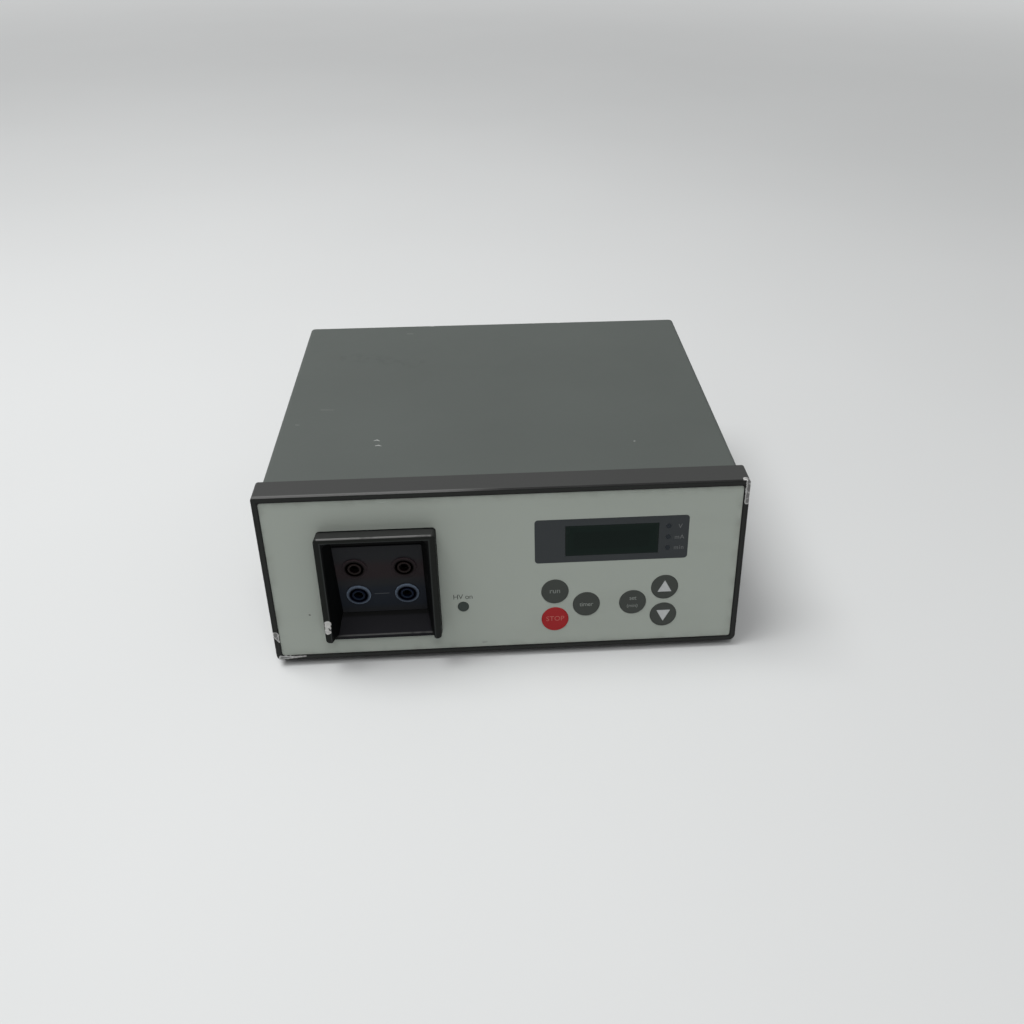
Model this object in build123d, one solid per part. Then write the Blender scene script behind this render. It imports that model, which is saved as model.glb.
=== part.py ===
from build123d import *
import math
import os

# Bench power supply with four safety output sockets, a display window and six keys on a leaning front.
# Two frames are used while building. In the upright frame, X runs to the right, Y runs back from the
# bezel's lower front edge and Z runs up from the bezel's underside. In the panel frame, X runs to the
# right, Y runs into the case square to the front panel, and Z runs up along the slope. lean() turns a
# shape of the panel frame into the upright one. All sizes are in millimetres.

# Case
case_width = 240.0
front_slope_length = 92.3
front_lean_deg = 12.56
bezel_top_depth = 12.9
case_depth = 205.7
cover_inset = 2.1
floor_height = 3.0
sheet = 1.2
cover_bend_radius = 1.6
slip = 0.2

# Bezel
rim = 2.95
bezel_top_corner_radius = 1.8
bezel_low_corner_radius = 3.0
bezel_edge_chamfer = 0.5
seat_depth = 3.0
ledge_width = 3.2
ledge_thickness = 3.0
cover_overlap = 6.0
boss_radius = 4.0
boss_length = 8.0
boss_side_inset = 8.6
boss_end_inset = 11.0

# Panel stack
panel_recess = 0.5
overlay_thickness = 0.5
overlay_gap = 0.1
overlay_corner_radius = 1.5
board_thickness = 1.6
front_board_depth = 10.4
front_board_hood_gap = 3.9
front_board_side_gap = 16.0
front_board_end_gap = 8.1
spacer_radius = 2.5
spacer_inset = 4.0

# Keys, with the columns and rows of their centres on the panel
key_radius = 6.95
key_gap = 0.1
key_proud = 0.2
key_travel = 0.4
key_flange_radius = 8.1
key_flange_thickness = 0.8
key_stem_radius = 2.0
key_stem_end = 6.0
key_switch_gap = 0.1
key_switch_size = 6.0
key_switch_plunger = 0.6
key_columns = (24.35, 40.5, 64.45, 80.7)
key_rows = (17.9, 26.1, 34.25)

# Display and lamps
window_left = 29.6
window_width = 46.5
window_height = 16.45
window_top_gap = 21.45
display_margin = 1.6
unit_lamp_gap = 4.9
unit_lamp_radius = 1.2
unit_lamp_rises = (2.5, 8.5, 14.5)
hv_lamp_x = -22.5
hv_lamp_height = 27.65
hv_lamp_radius = 2.85
lamp_base_height = 2.0
lamp_base_step = 0.3

# Socket housing and its guard hood
hood_centre = -62.9
hood_width = 58.0
hood_top = 73.1
hood_proud = 8.0
hood_rail = 3.3
hood_bar = 2.8
rail_tip = 14.4
hood_outer_radius = 2.0
hood_edge_round = 0.6
flange_proud = 1.0
flange_low = 12.2
lip_height = 2.0
tub_side_inset = 4.0
tub_end_inset = 1.7
tub_clearance = 0.3
bay_back = 12.0
bay_low = 20.7
bay_high = 69.0
bay_back_width = 43.4
bay_corner_radius = 2.5
bay_wall = 2.2
plate_thickness = 0.6
plate_gap = 0.1
plate_top_gap = 4.5
plate_corner_radius = 0.8

# Sockets
socket_spacing_x = 24.4
socket_rows = (33.2, 50.7)
socket_flange_radius = 6.1
socket_flange_thickness = 0.7
socket_barrel_radius = 5.4
socket_shroud_radius = 4.5
socket_length = 22.0
socket_floor = 2.0
socket_hole_gap = 0.15
contact_bore_radius = 2.0
contact_radius = 2.8
contact_recess = 1.5
contact_tail_radius = 1.1
contact_tail = 6.0
tip_radius = 3.3
tip_bore_gap = 0.4
nut_flats = 14.0
nut_thickness = 3.0
nut_gap = 0.1

# Chassis, cover and rear panel
floor_flange = 12.0
chassis_front = 12.0
rear_recess = 1.5
rear_panel_thickness = 1.5
rear_flange = 11.0
vent_length = 22.0
vent_width = 3.0
vent_pitch = 7.0
vent_count = 9
vent_centres = (-62.0, 62.0)

# Feet
foot_gap = 3.5
foot_radius = 8.0
foot_taper = 1.0
foot_inset_x = 20.0
foot_front_gap = 13.0
foot_rear_gap = 20.6
foot_recess_radius = 3.6
foot_recess_depth = 2.6

# Screws
screw_radius = 1.5
screw_head_radius = 2.9
screw_head_height = 1.7
screw_gap = 0.05
screw_reach = 2.0
small_screw_radius = 1.1
small_head_radius = 2.0
small_head_height = 1.3
countersink_depth = 1.3
drive_radius = 0.9
drive_depth = 0.8

# Main board
main_board_side_gap = 17.6
main_board_front_gap = 10.0
main_board_rear_gap = 30.6
main_board_height = 6.0
main_spacer_radius = 3.0
main_spacer_inset = 5.0
core_width = 48.0
core_length = 40.0
core_height = 38.0
core_window = 12.0
core_leg = 11.0
transformer_x = -18.0
transformer_rear_gap = 46.0
sink_x = 74.0
sink_end_gap = 14.0
sink_height = 34.0
sink_base = 4.0
sink_fin = 1.6
sink_fin_length = 11.0
sink_fins = 6
transistor_size = (4.6, 10.2, 15.0)
transistor_rise = 8.0
transistor_pitch = 24.0
transistor_leg = (0.6, 0.8)
transistor_leg_pitch = 2.5
capacitor_radius = 12.5
capacitor_height = 35.0
capacitor_x = 34.0
capacitor_pitch = 30.0
capacitor_round = 1.5

# Leads
lead_radius = 1.1
lead_drop = 10.0
lead_bend = 4.0
lead_landing = 3.0
lead_row_step = 8.0
mains_lead_step = 0.5
ribbon_width = 26.0
ribbon_thickness = 0.9
ribbon_rise = 8.0
ribbon_landing = 5.0
ribbon_x = 40.0

# Mains inlet and fuse drawer
inlet_x = 84.0
inlet_z = 48.0
inlet_width = 30.0
inlet_height = 44.0
inlet_flange_margin = 2.0
inlet_flange_thickness = 3.0
inlet_chamfer = 0.6
inlet_depth = 26.0
mouth_width = 24.2
mouth_height = 16.4
mouth_depth = 17.0
mouth_radius = 4.0
mouth_rise = 8.5
pin_width = 4.0
pin_thickness = 2.0
pin_spacing = 7.0
pin_rise = 4.0
pin_setback = 5.0
pin_tail = 7.0
drawer_width = 22.0
drawer_height = 10.0
drawer_drop = 13.5
drawer_face = 1.5
drawer_body_width = 18.0
drawer_body_height = 8.0
drawer_body_length = 22.5
drawer_gap = 0.2
fuse_radius = 2.5
fuse_length = 20.0
fuse_spacing = 7.0
fuse_setback = 1.0

# Mains switch
switch_x = 44.0
switch_z = 50.0
switch_width = 15.0
switch_height = 22.0
switch_frame = 2.0
switch_body_inset = 1.0
switch_depth = 16.0
switch_well = 9.0
switch_tail = 7.0
switch_tail_width = 4.8
switch_tail_thickness = 0.8
switch_tail_spacing = 10.0
switch_corner_radius = 1.0
switch_chamfer = 0.4
rocker_width = 10.8
rocker_height = 16.0
rocker_gap = 0.4
rocker_pivot_depth = 3.5
rocker_throw_deg = 14.0
rocker_dish = 2.2
rocker_proud = 0.6
rocker_heel = 2.0
rocker_shoulder = 1.0
rocker_ridge_round = 0.5
rocker_pin_end_gap = 0.2
rocker_pin_radius = 1.0
rocker_pin_reach = 0.6
rocker_pin_gap = 0.06

# Fan
fan_x = -70.0
fan_z = 46.0
fan_size = 60.0
fan_depth = 25.0
fan_corner_radius = 3.0
fan_bore_radius = 28.5
fan_hole_spacing = 50.0
fan_hole_radius = 2.15
fan_plate = 3.5
fan_wall = 1.4
fan_screw_radius = 2.0
motor_cup_radius = 14.5
motor_cup_length = 4.0
strut_width = 4.0
hub_radius = 14.0
hub_gap = 0.6
hub_round = 2.0
rotor_length = 18.0
blade_count = 7
blade_radius = 27.6
blade_thickness = 1.4
blade_pitch_deg = 32.0
blade_root = 2.0
blade_end_gap = 0.5
shaft_radius = 1.5
shaft_gap = 0.05
shaft_seat = 3.0
shaft_end_gap = 0.5
guard_rings = (10.0, 17.0, 24.0)
guard_wire_radius = 0.9
guard_ring_rise = 1.2
guard_eye_overlap = 0.2
guard_eye_radius = 3.8
guard_eye_thickness = 1.2

# Sizes that follow from those above
lean_angle = math.radians(front_lean_deg)
bezel_height = front_slope_length * math.cos(lean_angle)
bezel_top_front = front_slope_length * math.sin(lean_angle)
bezel_back = bezel_top_front + bezel_top_depth
half_case = case_width / 2
half_cover = half_case - cover_inset
cover_top = bezel_height - cover_inset
cover_low = floor_height
floor_top = cover_low + sheet
bezel_wall = cover_inset - slip
bezel_floor = floor_height - slip
overlay_back = panel_recess + overlay_thickness
subpanel_back = seat_depth
window_low = front_slope_length - window_top_gap - window_height
unit_lamp_x = window_left + window_width + unit_lamp_gap
unit_lamp_rows = [window_low + rise for rise in unit_lamp_rises]
hood_left = hood_centre - hood_width / 2
hood_right = hood_centre + hood_width / 2
tub_left = hood_left + tub_side_inset
tub_right = hood_right - tub_side_inset
tub_low = flange_low + tub_end_inset
tub_high = hood_top - tub_end_inset
socket_columns = (hood_centre - socket_spacing_x / 2, hood_centre + socket_spacing_x / 2)
wall_back = bay_back + plate_thickness + bay_wall
panel_back_y = case_depth - rear_recess
panel_front_y = panel_back_y - rear_panel_thickness
inner_half = half_cover - sheet - slip
board_low = floor_top + main_board_height
board_top = board_low + board_thickness
socket_tail_end = bay_back + socket_length + contact_tail
main_board_width = 2 * (inner_half - main_board_side_gap)
main_board_front = socket_tail_end + main_board_front_gap
main_board_back = panel_front_y - main_board_rear_gap
main_board_middle = (main_board_front + main_board_back) / 2
transformer_y = main_board_back - transformer_rear_gap
capacitor_places_y = [main_board_middle + step * capacitor_pitch for step in (-1, 0, 1)]
vent_start = main_board_middle - (vent_count - 1) / 2 * vent_pitch
foot_places_y = (bezel_back + foot_front_gap, panel_front_y - foot_rear_gap)
front_board_left = hood_right + front_board_hood_gap
front_board_right = half_case - front_board_side_gap
front_board_low = front_board_end_gap
front_board_high = front_slope_length - front_board_end_gap
front_board_back = front_board_depth + board_thickness
drawer_z = inlet_z - drawer_drop
mouth_z = inlet_z + mouth_rise
inlet_face_y = panel_back_y + inlet_flange_thickness
switch_face_y = panel_back_y + switch_frame
rocker_pivot = (switch_x, switch_face_y - rocker_pivot_depth, switch_z)
rocker_pin_length = rocker_width + 2 * rocker_pin_reach
fan_front_y = panel_front_y - fan_depth
cup_back_y = fan_front_y + motor_cup_length
guard_y = panel_back_y + guard_wire_radius
key_places = {
    "key_run": (key_columns[0], key_rows[2]),
    "key_stop": (key_columns[0], key_rows[0]),
    "key_timer": (key_columns[1], key_rows[1]),
    "key_set": (key_columns[2], key_rows[1]),
    "key_up": (key_columns[3], key_rows[2]),
    "key_down": (key_columns[3], key_rows[0]),
}


def block(x0, x1, y0, y1, z0, z1):
    """Box between two corners."""
    centre = Pos((x0 + x1) / 2, (y0 + y1) / 2, (z0 + z1) / 2)
    return centre * Box(x1 - x0, y1 - y0, z1 - z0)


def rod_y(x, z, radius, y0, y1):
    """Cylinder along Y."""
    return Pos(x, (y0 + y1) / 2, z) * Rot(90, 0, 0) * Cylinder(radius, y1 - y0)


def rod_z(x, y, radius, z0, z1):
    """Cylinder along Z."""
    return Pos(x, y, (z0 + z1) / 2) * Cylinder(radius, z1 - z0)


def group(shapes):
    """Separate solids in one piece."""
    solids = [solid for shape in shapes for solid in shape.solids()]
    return Compound(solids)


def lean(shape):
    """Turn a shape from the panel frame into the upright frame."""
    return Rot(-front_lean_deg, 0, 0) * shape


def rounded_block_y(x0, x1, y0, y1, z0, z1, radius):
    """Box with its four edges along Y rounded."""
    sketch = Pos((x0 + x1) / 2, (z0 + z1) / 2) * RectangleRounded(x1 - x0, z1 - z0, radius)
    face = Plane(origin=(0, y1, 0), x_dir=(1, 0, 0), z_dir=(0, -1, 0)) * sketch
    return extrude(face, y1 - y0)


def prism_x(points, x0, x1):
    """Solid with an outline of (y, z) points, drawn along X."""
    outline = Plane.YZ.offset(x0) * Polygon(*points, align=None)
    return extrude(outline, x1 - x0, dir=(1, 0, 0))


def lean_line(depth, z):
    """Y of the plane at a depth behind the front, at a height in the upright frame."""
    return z * math.tan(lean_angle) + depth / math.cos(lean_angle)


def lean_point(depth, height):
    """Y and Z in the upright frame of a point of the panel frame."""
    y = height * math.sin(lean_angle) + depth * math.cos(lean_angle)
    z = height * math.cos(lean_angle) - depth * math.sin(lean_angle)
    return y, z


def depth_of(point):
    """Depth behind the front plane of a point of the upright frame."""
    return point.Y * math.cos(lean_angle) - point.Z * math.sin(lean_angle)


def boss_places():
    """Places of the bezel's four screw bosses, in the panel frame."""
    side = half_case - boss_side_inset
    heights = (boss_end_inset, front_slope_length - boss_end_inset)
    return [(x, height) for x in (-side, side) for height in heights]


def screw_down(x, y, top, length, radius, head_radius, head_height):
    """Pan-head screw along Z with its head's underside at top, pointing down."""
    head = rod_z(x, y, head_radius, top, top + head_height)
    head = fillet(head.edges().sort_by(Axis.Z)[-1], head_height * 0.5)
    drive = rod_z(x, y, drive_radius, top + head_height - drive_depth, top + head_height + 1)
    return head + rod_z(x, y, radius, top - length, top) - drive


def turned(shape, point, axis, angle):
    """Turn a shape about an axis through a point."""
    return Pos(*point) * Rot(*(angle * part for part in axis)) * Pos(*(-part for part in point)) * shape


def screw_rear(x, z, seat, length, radius, head_radius, head_height):
    """The same screw, seated on a face that looks to the rear, pointing forward."""
    screw = screw_down(0, 0, 0, length, radius, head_radius, head_height)
    return Pos(x, seat, z) * Rot(-90, 0, 0) * screw


def front_bezel():
    """Wedge-shaped frame with a seat for the panel, a ledge, corner bosses and a rear socket."""
    profile = [(0, 0), (bezel_top_front, bezel_height), (bezel_back, bezel_height), (bezel_back, 0)]
    wedge = prism_x(profile, -half_case, half_case)
    corner_edges = wedge.edges().filter_by(Axis.Y).group_by(Axis.Z)
    wedge = fillet(corner_edges[-1], bezel_top_corner_radius)
    corner_edges = wedge.edges().filter_by(Axis.Y).group_by(Axis.Z)
    wedge = fillet(corner_edges[0], bezel_low_corner_radius)
    front = [edge for edge in wedge.edges() if on_front_plane(edge)]
    wedge = chamfer(front, bezel_edge_chamfer)
    opening = half_case - rim
    seat = rounded_block_y(
        -opening, opening, -1, seat_depth, rim, front_slope_length - rim, overlay_corner_radius
    )
    through = half_case - rim - ledge_width
    ledge_low = rim + ledge_width
    ledge_high = front_slope_length - ledge_low
    hole = block(-through, through, 0, seat_depth + ledge_thickness + 1, ledge_low, ledge_high)
    wedge = wedge - lean(seat) - lean(hole)
    back_depth = seat_depth + ledge_thickness
    low = bezel_floor
    high = bezel_height - bezel_wall
    socket_profile = [
        (lean_line(back_depth, low), low),
        (lean_line(back_depth, high), high),
        (bezel_back + 1, high),
        (bezel_back + 1, low),
    ]
    side = half_cover + slip
    wedge = wedge - prism_x(socket_profile, -side, side)
    for x, height in boss_places():
        wedge = wedge + lean(rod_y(x, height, boss_radius, back_depth - 1, seat_depth + boss_length))
    for x, height in boss_places():
        pilot = small_screw_radius + screw_gap
        wedge = wedge - lean(rod_y(x, height, pilot, seat_depth - 1, seat_depth + boss_length + 1))
    for x, y in bezel_screw_places():
        wedge = wedge - rod_z(x, y, screw_radius + screw_gap, -1, bezel_floor + 1)
        wedge = wedge - rod_z(x, y, screw_head_radius + screw_gap, -1, screw_head_height)
    return wedge


def on_front_plane(edge):
    """True where an edge lies on the leaning front plane."""
    ends = [edge @ 0, edge @ 1, edge @ 0.5]
    return all(abs(point.Y - lean_line(0, point.Z)) < 0.01 for point in ends)


def bezel_screw_places():
    """Screws that hold the bezel to the chassis floor, from below."""
    y = (chassis_front + bezel_back) / 2
    return [(x, y) for x in (-half_case * 0.75, 0, half_case * 0.75)]


def panel_openings(shape, gap):
    """Cut the window, the lamp holes and the key holes through a plate of the panel stack."""
    window = block(
        window_left - gap,
        window_left + window_width + gap,
        0,
        seat_depth + 1,
        window_low - gap,
        window_low + window_height + gap,
    )
    shape = shape - window
    for height in unit_lamp_rows:
        shape = shape - rod_y(unit_lamp_x, height, unit_lamp_radius + gap, 0, seat_depth + 1)
    shape = shape - rod_y(hv_lamp_x, hv_lamp_height, hv_lamp_radius + gap, 0, seat_depth + 1)
    for x, height in key_places.values():
        shape = shape - rod_y(x, height, key_radius + key_gap, 0, seat_depth + 1)
    return shape


def panel_overlay():
    """Printed film over the whole panel."""
    side = half_case - rim - overlay_gap
    low = rim + overlay_gap
    film = rounded_block_y(
        -side, side, panel_recess, overlay_back, low, front_slope_length - low,
        overlay_corner_radius - overlay_gap,
    )
    bay = rounded_block_y(
        hood_left - overlay_gap,
        hood_right + overlay_gap,
        0,
        seat_depth,
        flange_low - overlay_gap,
        hood_top + overlay_gap,
        hood_outer_radius + overlay_gap,
    )
    return lean(panel_openings(film - bay, overlay_gap))


def front_subpanel():
    """Plate in the bezel's seat that carries the film, the socket housing and the front board."""
    side = half_case - rim - overlay_gap
    low = rim + overlay_gap
    plate = rounded_block_y(
        -side, side, overlay_back, subpanel_back, low, front_slope_length - low,
        overlay_corner_radius - overlay_gap,
    )
    cutout = block(
        tub_left - tub_clearance,
        tub_right + tub_clearance,
        0,
        seat_depth + 1,
        tub_low - tub_clearance,
        tub_high + tub_clearance,
    )
    plate = panel_openings(plate - cutout, overlay_gap)
    for x, height in boss_places():
        plate = plate - rod_y(x, height, small_screw_radius + screw_gap, 0, seat_depth + 1)
        head = small_head_radius + screw_gap
        plate = plate - rod_y(x, height, head, 0, overlay_back + countersink_depth)
    for x, height in housing_screw_places():
        plate = plate - rod_y(x, height, small_screw_radius + screw_gap, 0, seat_depth + 1)
    return lean(plate)


def subpanel_screws():
    """Four sunk screws under the film, one in each corner boss of the bezel."""
    screws = []
    for x, height in boss_places():
        bottom = overlay_back + countersink_depth
        head = rod_y(x, height, small_head_radius, overlay_back, bottom)
        drive = rod_y(x, height, drive_radius, overlay_back - 1, overlay_back + drive_depth)
        shank = rod_y(x, height, small_screw_radius, bottom, seat_depth + boss_length - 1)
        screws.append(lean(head + shank - drive))
    return group(screws)


def key(place):
    """Round key: cap, retaining flange behind the subpanel, and a stem towards its switch."""
    x, height = place
    cap = rod_y(x, height, key_radius, panel_recess - key_proud, subpanel_back + key_switch_gap)
    cap = fillet(cap.edges().sort_by(Axis.Y)[0], key_proud * 0.9)
    flange_front = subpanel_back + key_switch_gap
    flange_back = flange_front + key_flange_thickness
    flange = rod_y(x, height, key_flange_radius, flange_front, flange_back)
    stem = rod_y(x, height, key_stem_radius, flange_back, key_stem_end)
    return lean(cap + flange + stem)


def key_switches():
    """Six push switches on the front board, one behind each key."""
    switches = []
    top = key_stem_end + key_travel + key_switch_gap
    shoulder = top + key_switch_plunger
    half = key_switch_size / 2
    for x, height in key_places.values():
        body = block(x - half, x + half, shoulder, front_board_depth, height - half, height + half)
        plunger = rod_y(x, height, key_stem_radius * 0.85, top, shoulder)
        switches.append(lean(body + plunger))
    return group(switches)


def display_filter():
    """Dark window through film and subpanel, against the display's face."""
    pane = block(
        window_left,
        window_left + window_width,
        panel_recess,
        subpanel_back,
        window_low,
        window_low + window_height,
    )
    return lean(pane)


def display_module():
    """Block of digits between the subpanel and the front board."""
    body = block(
        window_left - display_margin,
        window_left + window_width + display_margin,
        subpanel_back,
        front_board_depth,
        window_low - display_margin,
        window_low + window_height + display_margin,
    )
    return lean(body)


def lamp(x, height, radius, proud):
    """Lamp with a lens through the panel and a base on the front board."""
    front = panel_recess - proud
    lens = rod_y(x, height, radius, front, front_board_depth - lamp_base_height)
    foot = front_board_depth - lamp_base_height
    base = rod_y(x, height, radius + lamp_base_step, foot, front_board_depth)
    return lens + base


def unit_lamps():
    """Three small lamps beside the display that show the unit."""
    return group([lean(lamp(unit_lamp_x, height, unit_lamp_radius, 0)) for height in unit_lamp_rows])


def hv_lamp():
    """Lamp that shows that the output is live, with a slightly domed lens."""
    lens = lamp(hv_lamp_x, hv_lamp_height, hv_lamp_radius, key_proud)
    lens = fillet(lens.edges().sort_by(Axis.Y)[0], key_proud * 0.9)
    return lean(lens)


def spacer_places():
    """Corners of the front board where its spacers stand."""
    sides = (front_board_left + spacer_inset, front_board_right - spacer_inset)
    heights = (front_board_low + spacer_inset, front_board_high - spacer_inset)
    return [(x, height) for x in sides for height in heights]


def front_board():
    """Circuit board behind the panel."""
    board = block(
        front_board_left,
        front_board_right,
        front_board_depth,
        front_board_back,
        front_board_low,
        front_board_high,
    )
    for x, height in spacer_places():
        hole = rod_y(x, height, small_screw_radius + screw_gap, 0, front_board_back + 1)
        board = board - hole
    return lean(board)


def front_board_spacers():
    """Threaded spacers between subpanel and front board."""
    spacers = []
    for x, height in spacer_places():
        spacer = rod_y(x, height, spacer_radius, subpanel_back, front_board_depth)
        bore = rod_y(x, height, small_screw_radius + screw_gap, subpanel_back + 1, front_board_depth + 1)
        spacers.append(lean(spacer - bore))
    return group(spacers)


def front_board_screws():
    """Screws through the front board into its spacers."""
    screws = []
    for x, height in spacer_places():
        length = board_thickness + (front_board_depth - subpanel_back) * 0.6
        screw = screw_rear(
            x, height, front_board_back, length, small_screw_radius, small_head_radius, small_head_height
        )
        screws.append(lean(screw))
    return group(screws)


def bay_floor_slope():
    """Rise per millimetre of the bay's floor, from the lip up to the foot of the socket plate."""
    lip_y, lip_z = lean_point(-flange_proud, flange_low + lip_height)
    return (bay_low - lip_z) / (bay_back - lip_y)


def runs_back(edge):
    """True for an edge that runs from the bay's mouth to its back."""
    return abs((edge @ 0).Y - (edge @ 1).Y) > bay_back * 0.4 and abs((edge @ 0.5).X - hood_centre) > 1


def bay_cavity():
    """Space of the socket bay: a funnel from the guard hood's mouth to the upright socket plate."""
    back = bay_back + plate_thickness
    slope = bay_floor_slope()
    back_low = bay_low + slope * plate_thickness
    front_depth = -hood_proud - 1
    front_z = (
        (bay_low - slope * (bay_back - front_depth / math.cos(lean_angle)))
        / (1 - slope * math.tan(lean_angle))
    )
    front_low = front_z / math.cos(lean_angle) + front_depth * math.tan(lean_angle)
    front_high = hood_top - hood_bar
    front_y, front_mid_z = lean_point(front_depth, (front_low + front_high) / 2)
    mouth = Plane(
        origin=(hood_centre, front_y, front_mid_z),
        x_dir=(1, 0, 0),
        z_dir=(0, -math.cos(lean_angle), math.sin(lean_angle)),
    ) * Rectangle(hood_width - 2 * hood_rail, front_high - front_low)
    end = Plane(
        origin=(hood_centre, back, (back_low + bay_high) / 2),
        x_dir=(1, 0, 0),
        z_dir=(0, -1, 0),
    ) * Rectangle(bay_back_width + 2 * plate_gap, bay_high - back_low)
    funnel = loft([mouth, end], ruled=True)
    top_corners = [edge for edge in funnel.edges() if runs_back(edge) and (edge @ 0.5).Z > bay_high - 2]
    return fillet(top_corners, bay_corner_radius)


def socket_housing():
    """Moulded socket bay with its flange on the panel and the guard hood: two rails and a top bar."""
    outline = Pos(hood_centre, (rail_tip + hood_top) / 2) * RectangleRounded(
        hood_width, hood_top - rail_tip, hood_outer_radius
    )
    plane = Plane(origin=(0, -flange_proud, 0), x_dir=(1, 0, 0), z_dir=(0, -1, 0))
    cavity = bay_cavity()
    hood = lean(extrude(plane * outline, hood_proud - flange_proud)) - cavity
    tips = [edge for edge in hood.edges() if inner_tip(edge)]
    hood = fillet(tips, hood_rail - hood_outer_radius - 0.1)
    front_edges = hood.faces().sort_by(lambda face: depth_of(face.center()))[0].edges()
    hood = fillet(front_edges, hood_edge_round)
    flange = rounded_block_y(
        hood_left, hood_right, -flange_proud, overlay_back, flange_low, hood_top, hood_outer_radius
    )
    tub = block(tub_left, tub_right, -flange_proud, wall_back, tub_low, tub_high)
    behind = block(hood_left - 1, hood_right + 1, wall_back, wall_back + case_depth, 0, bezel_height)
    housing = hood + ((lean(flange) + (lean(tub) - behind)) - cavity)
    for x in socket_columns:
        for z in socket_rows:
            hole = rod_y(x, z, socket_barrel_radius + socket_hole_gap, 0, bay_back + socket_length)
            housing = housing - hole
    for x, height in housing_screw_places():
        pilot = rod_y(x, height, small_screw_radius + screw_gap, 1 - hood_proud, overlay_back + 1)
        housing = housing - lean(pilot)
    return housing


def inner_tip(edge):
    """True for the edge at the inner side of a rail's lower end, square to the panel."""
    middle = edge @ 0.5
    height = middle.Y * math.sin(lean_angle) + middle.Z * math.cos(lean_angle)
    inside = abs(middle.X - hood_centre) < hood_width / 2 - hood_rail + 0.5
    square = abs(depth_of(edge @ 0) - depth_of(edge @ 1)) > (hood_proud - flange_proud) * 0.9
    return inside and square and abs(height - rail_tip) < 0.05


def housing_screw_places():
    """Screws from behind the subpanel into the hood's rails, in the panel frame."""
    sides = (hood_left + hood_rail / 2, hood_right - hood_rail / 2)
    third = (hood_top - rail_tip) / 6
    return [(x, height) for x in sides for height in (rail_tip + third, hood_top - third)]


def housing_screws():
    """Screws that hold the socket housing to the subpanel."""
    screws = []
    for x, height in housing_screw_places():
        length = seat_depth + hood_proud - 3
        screw = screw_rear(
            x, height, subpanel_back, length, small_screw_radius, small_head_radius, small_head_height
        )
        screws.append(lean(screw))
    return group(screws)


def socket_plate():
    """Printed upright plate at the back of the bay, with a hole for each socket."""
    half = bay_back_width / 2
    foot = bay_low + bay_floor_slope() * plate_thickness + plate_gap
    plate = rounded_block_y(
        hood_centre - half, hood_centre + half, bay_back, bay_back + plate_thickness, foot,
        bay_high - plate_top_gap, plate_corner_radius,
    )
    for x in socket_columns:
        for z in socket_rows:
            hole = rod_y(x, z, socket_barrel_radius + socket_hole_gap, 0, bay_back + socket_length)
            plate = plate - hole
    return plate


def safety_socket(x, z):
    """Insulated socket: flange on the plate, barrel through the wall and an annular shroud space."""
    face = bay_back - socket_flange_thickness
    back = bay_back + socket_length
    flange = rod_y(x, z, socket_flange_radius, face, bay_back)
    flange = fillet(flange.edges().sort_by(Axis.Y)[0], socket_flange_thickness * 0.5)
    barrel = rod_y(x, z, socket_barrel_radius, bay_back, back)
    shroud = rod_y(x, z, socket_shroud_radius, face - 1, back - socket_floor)
    seat = rod_y(x, z, contact_radius, face - 1, back + 1)
    return flange + barrel - shroud - seat


def contact_sleeves():
    """Four metal sleeves with a 4 mm bore, each held in the floor of its socket."""
    sleeves = []
    for x in socket_columns:
        for z in socket_rows:
            front = bay_back + contact_recess
            back = bay_back + socket_length
            body = rod_y(x, z, contact_radius, front, back)
            tail = rod_y(x, z, contact_tail_radius, back, back + contact_tail)
            bore = rod_y(x, z, contact_bore_radius, front - 1, back - socket_floor)
            sleeves.append(body + tail - bore)
    return group(sleeves)


def insulating_tips(z):
    """Insulating rings on the front ends of one row's contact sleeves."""
    front = bay_back - socket_flange_thickness
    back = bay_back + contact_recess
    tips = []
    for x in socket_columns:
        tip = rod_y(x, z, tip_radius, front, back)
        tips.append(tip - rod_y(x, z, contact_bore_radius + tip_bore_gap, front - 1, back + 1))
    return group(tips)


def socket_tips_red():
    """Insulating tips of the upper sockets."""
    return insulating_tips(socket_rows[1])


def socket_tips_blue():
    """Insulating tips of the lower sockets."""
    return insulating_tips(socket_rows[0])


def socket_nuts():
    """Four hexagon nuts on the socket barrels, behind the bay's wall."""
    nuts = []
    for x in socket_columns:
        for z in socket_rows:
            plane = Plane(origin=(x, wall_back, z), x_dir=(1, 0, 0), z_dir=(0, 1, 0))
            hexagon = RegularPolygon(nut_flats / 2, 6, major_radius=False)
            hexagon = hexagon - Circle(socket_barrel_radius + nut_gap)
            nuts.append(extrude(plane * hexagon, nut_thickness))
    return group(nuts)


def cover_screw_places():
    """Side, position along the case and height of the screws that hold the cover."""
    z = floor_top + floor_flange / 2
    return [(side, y, z) for side in (-1, 1) for y in (case_depth * 0.3, case_depth * 0.85)]


def top_cover():
    """One folded sheet: top and both sides."""
    front = bezel_back - cover_overlap
    outer = block(-half_cover, half_cover, front, case_depth, cover_low, cover_top)
    top_edges = outer.edges().filter_by(Axis.Y).group_by(Axis.Z)[-1]
    outer = fillet(top_edges, cover_bend_radius + sheet)
    inner_side = half_cover - sheet
    inner = block(
        -inner_side, inner_side, front - 1, case_depth + 1, cover_low - 1, cover_top - sheet
    )
    inner_edges = inner.edges().filter_by(Axis.Y).group_by(Axis.Z)[-1]
    inner = fillet(inner_edges, cover_bend_radius)
    cover = outer - inner
    for side, y, z in cover_screw_places():
        hole = Pos(side * half_cover, y, z) * Rot(0, 90, 0) * Cylinder(screw_radius + screw_gap, 6 * sheet)
        cover = cover - hole
    return cover


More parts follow.
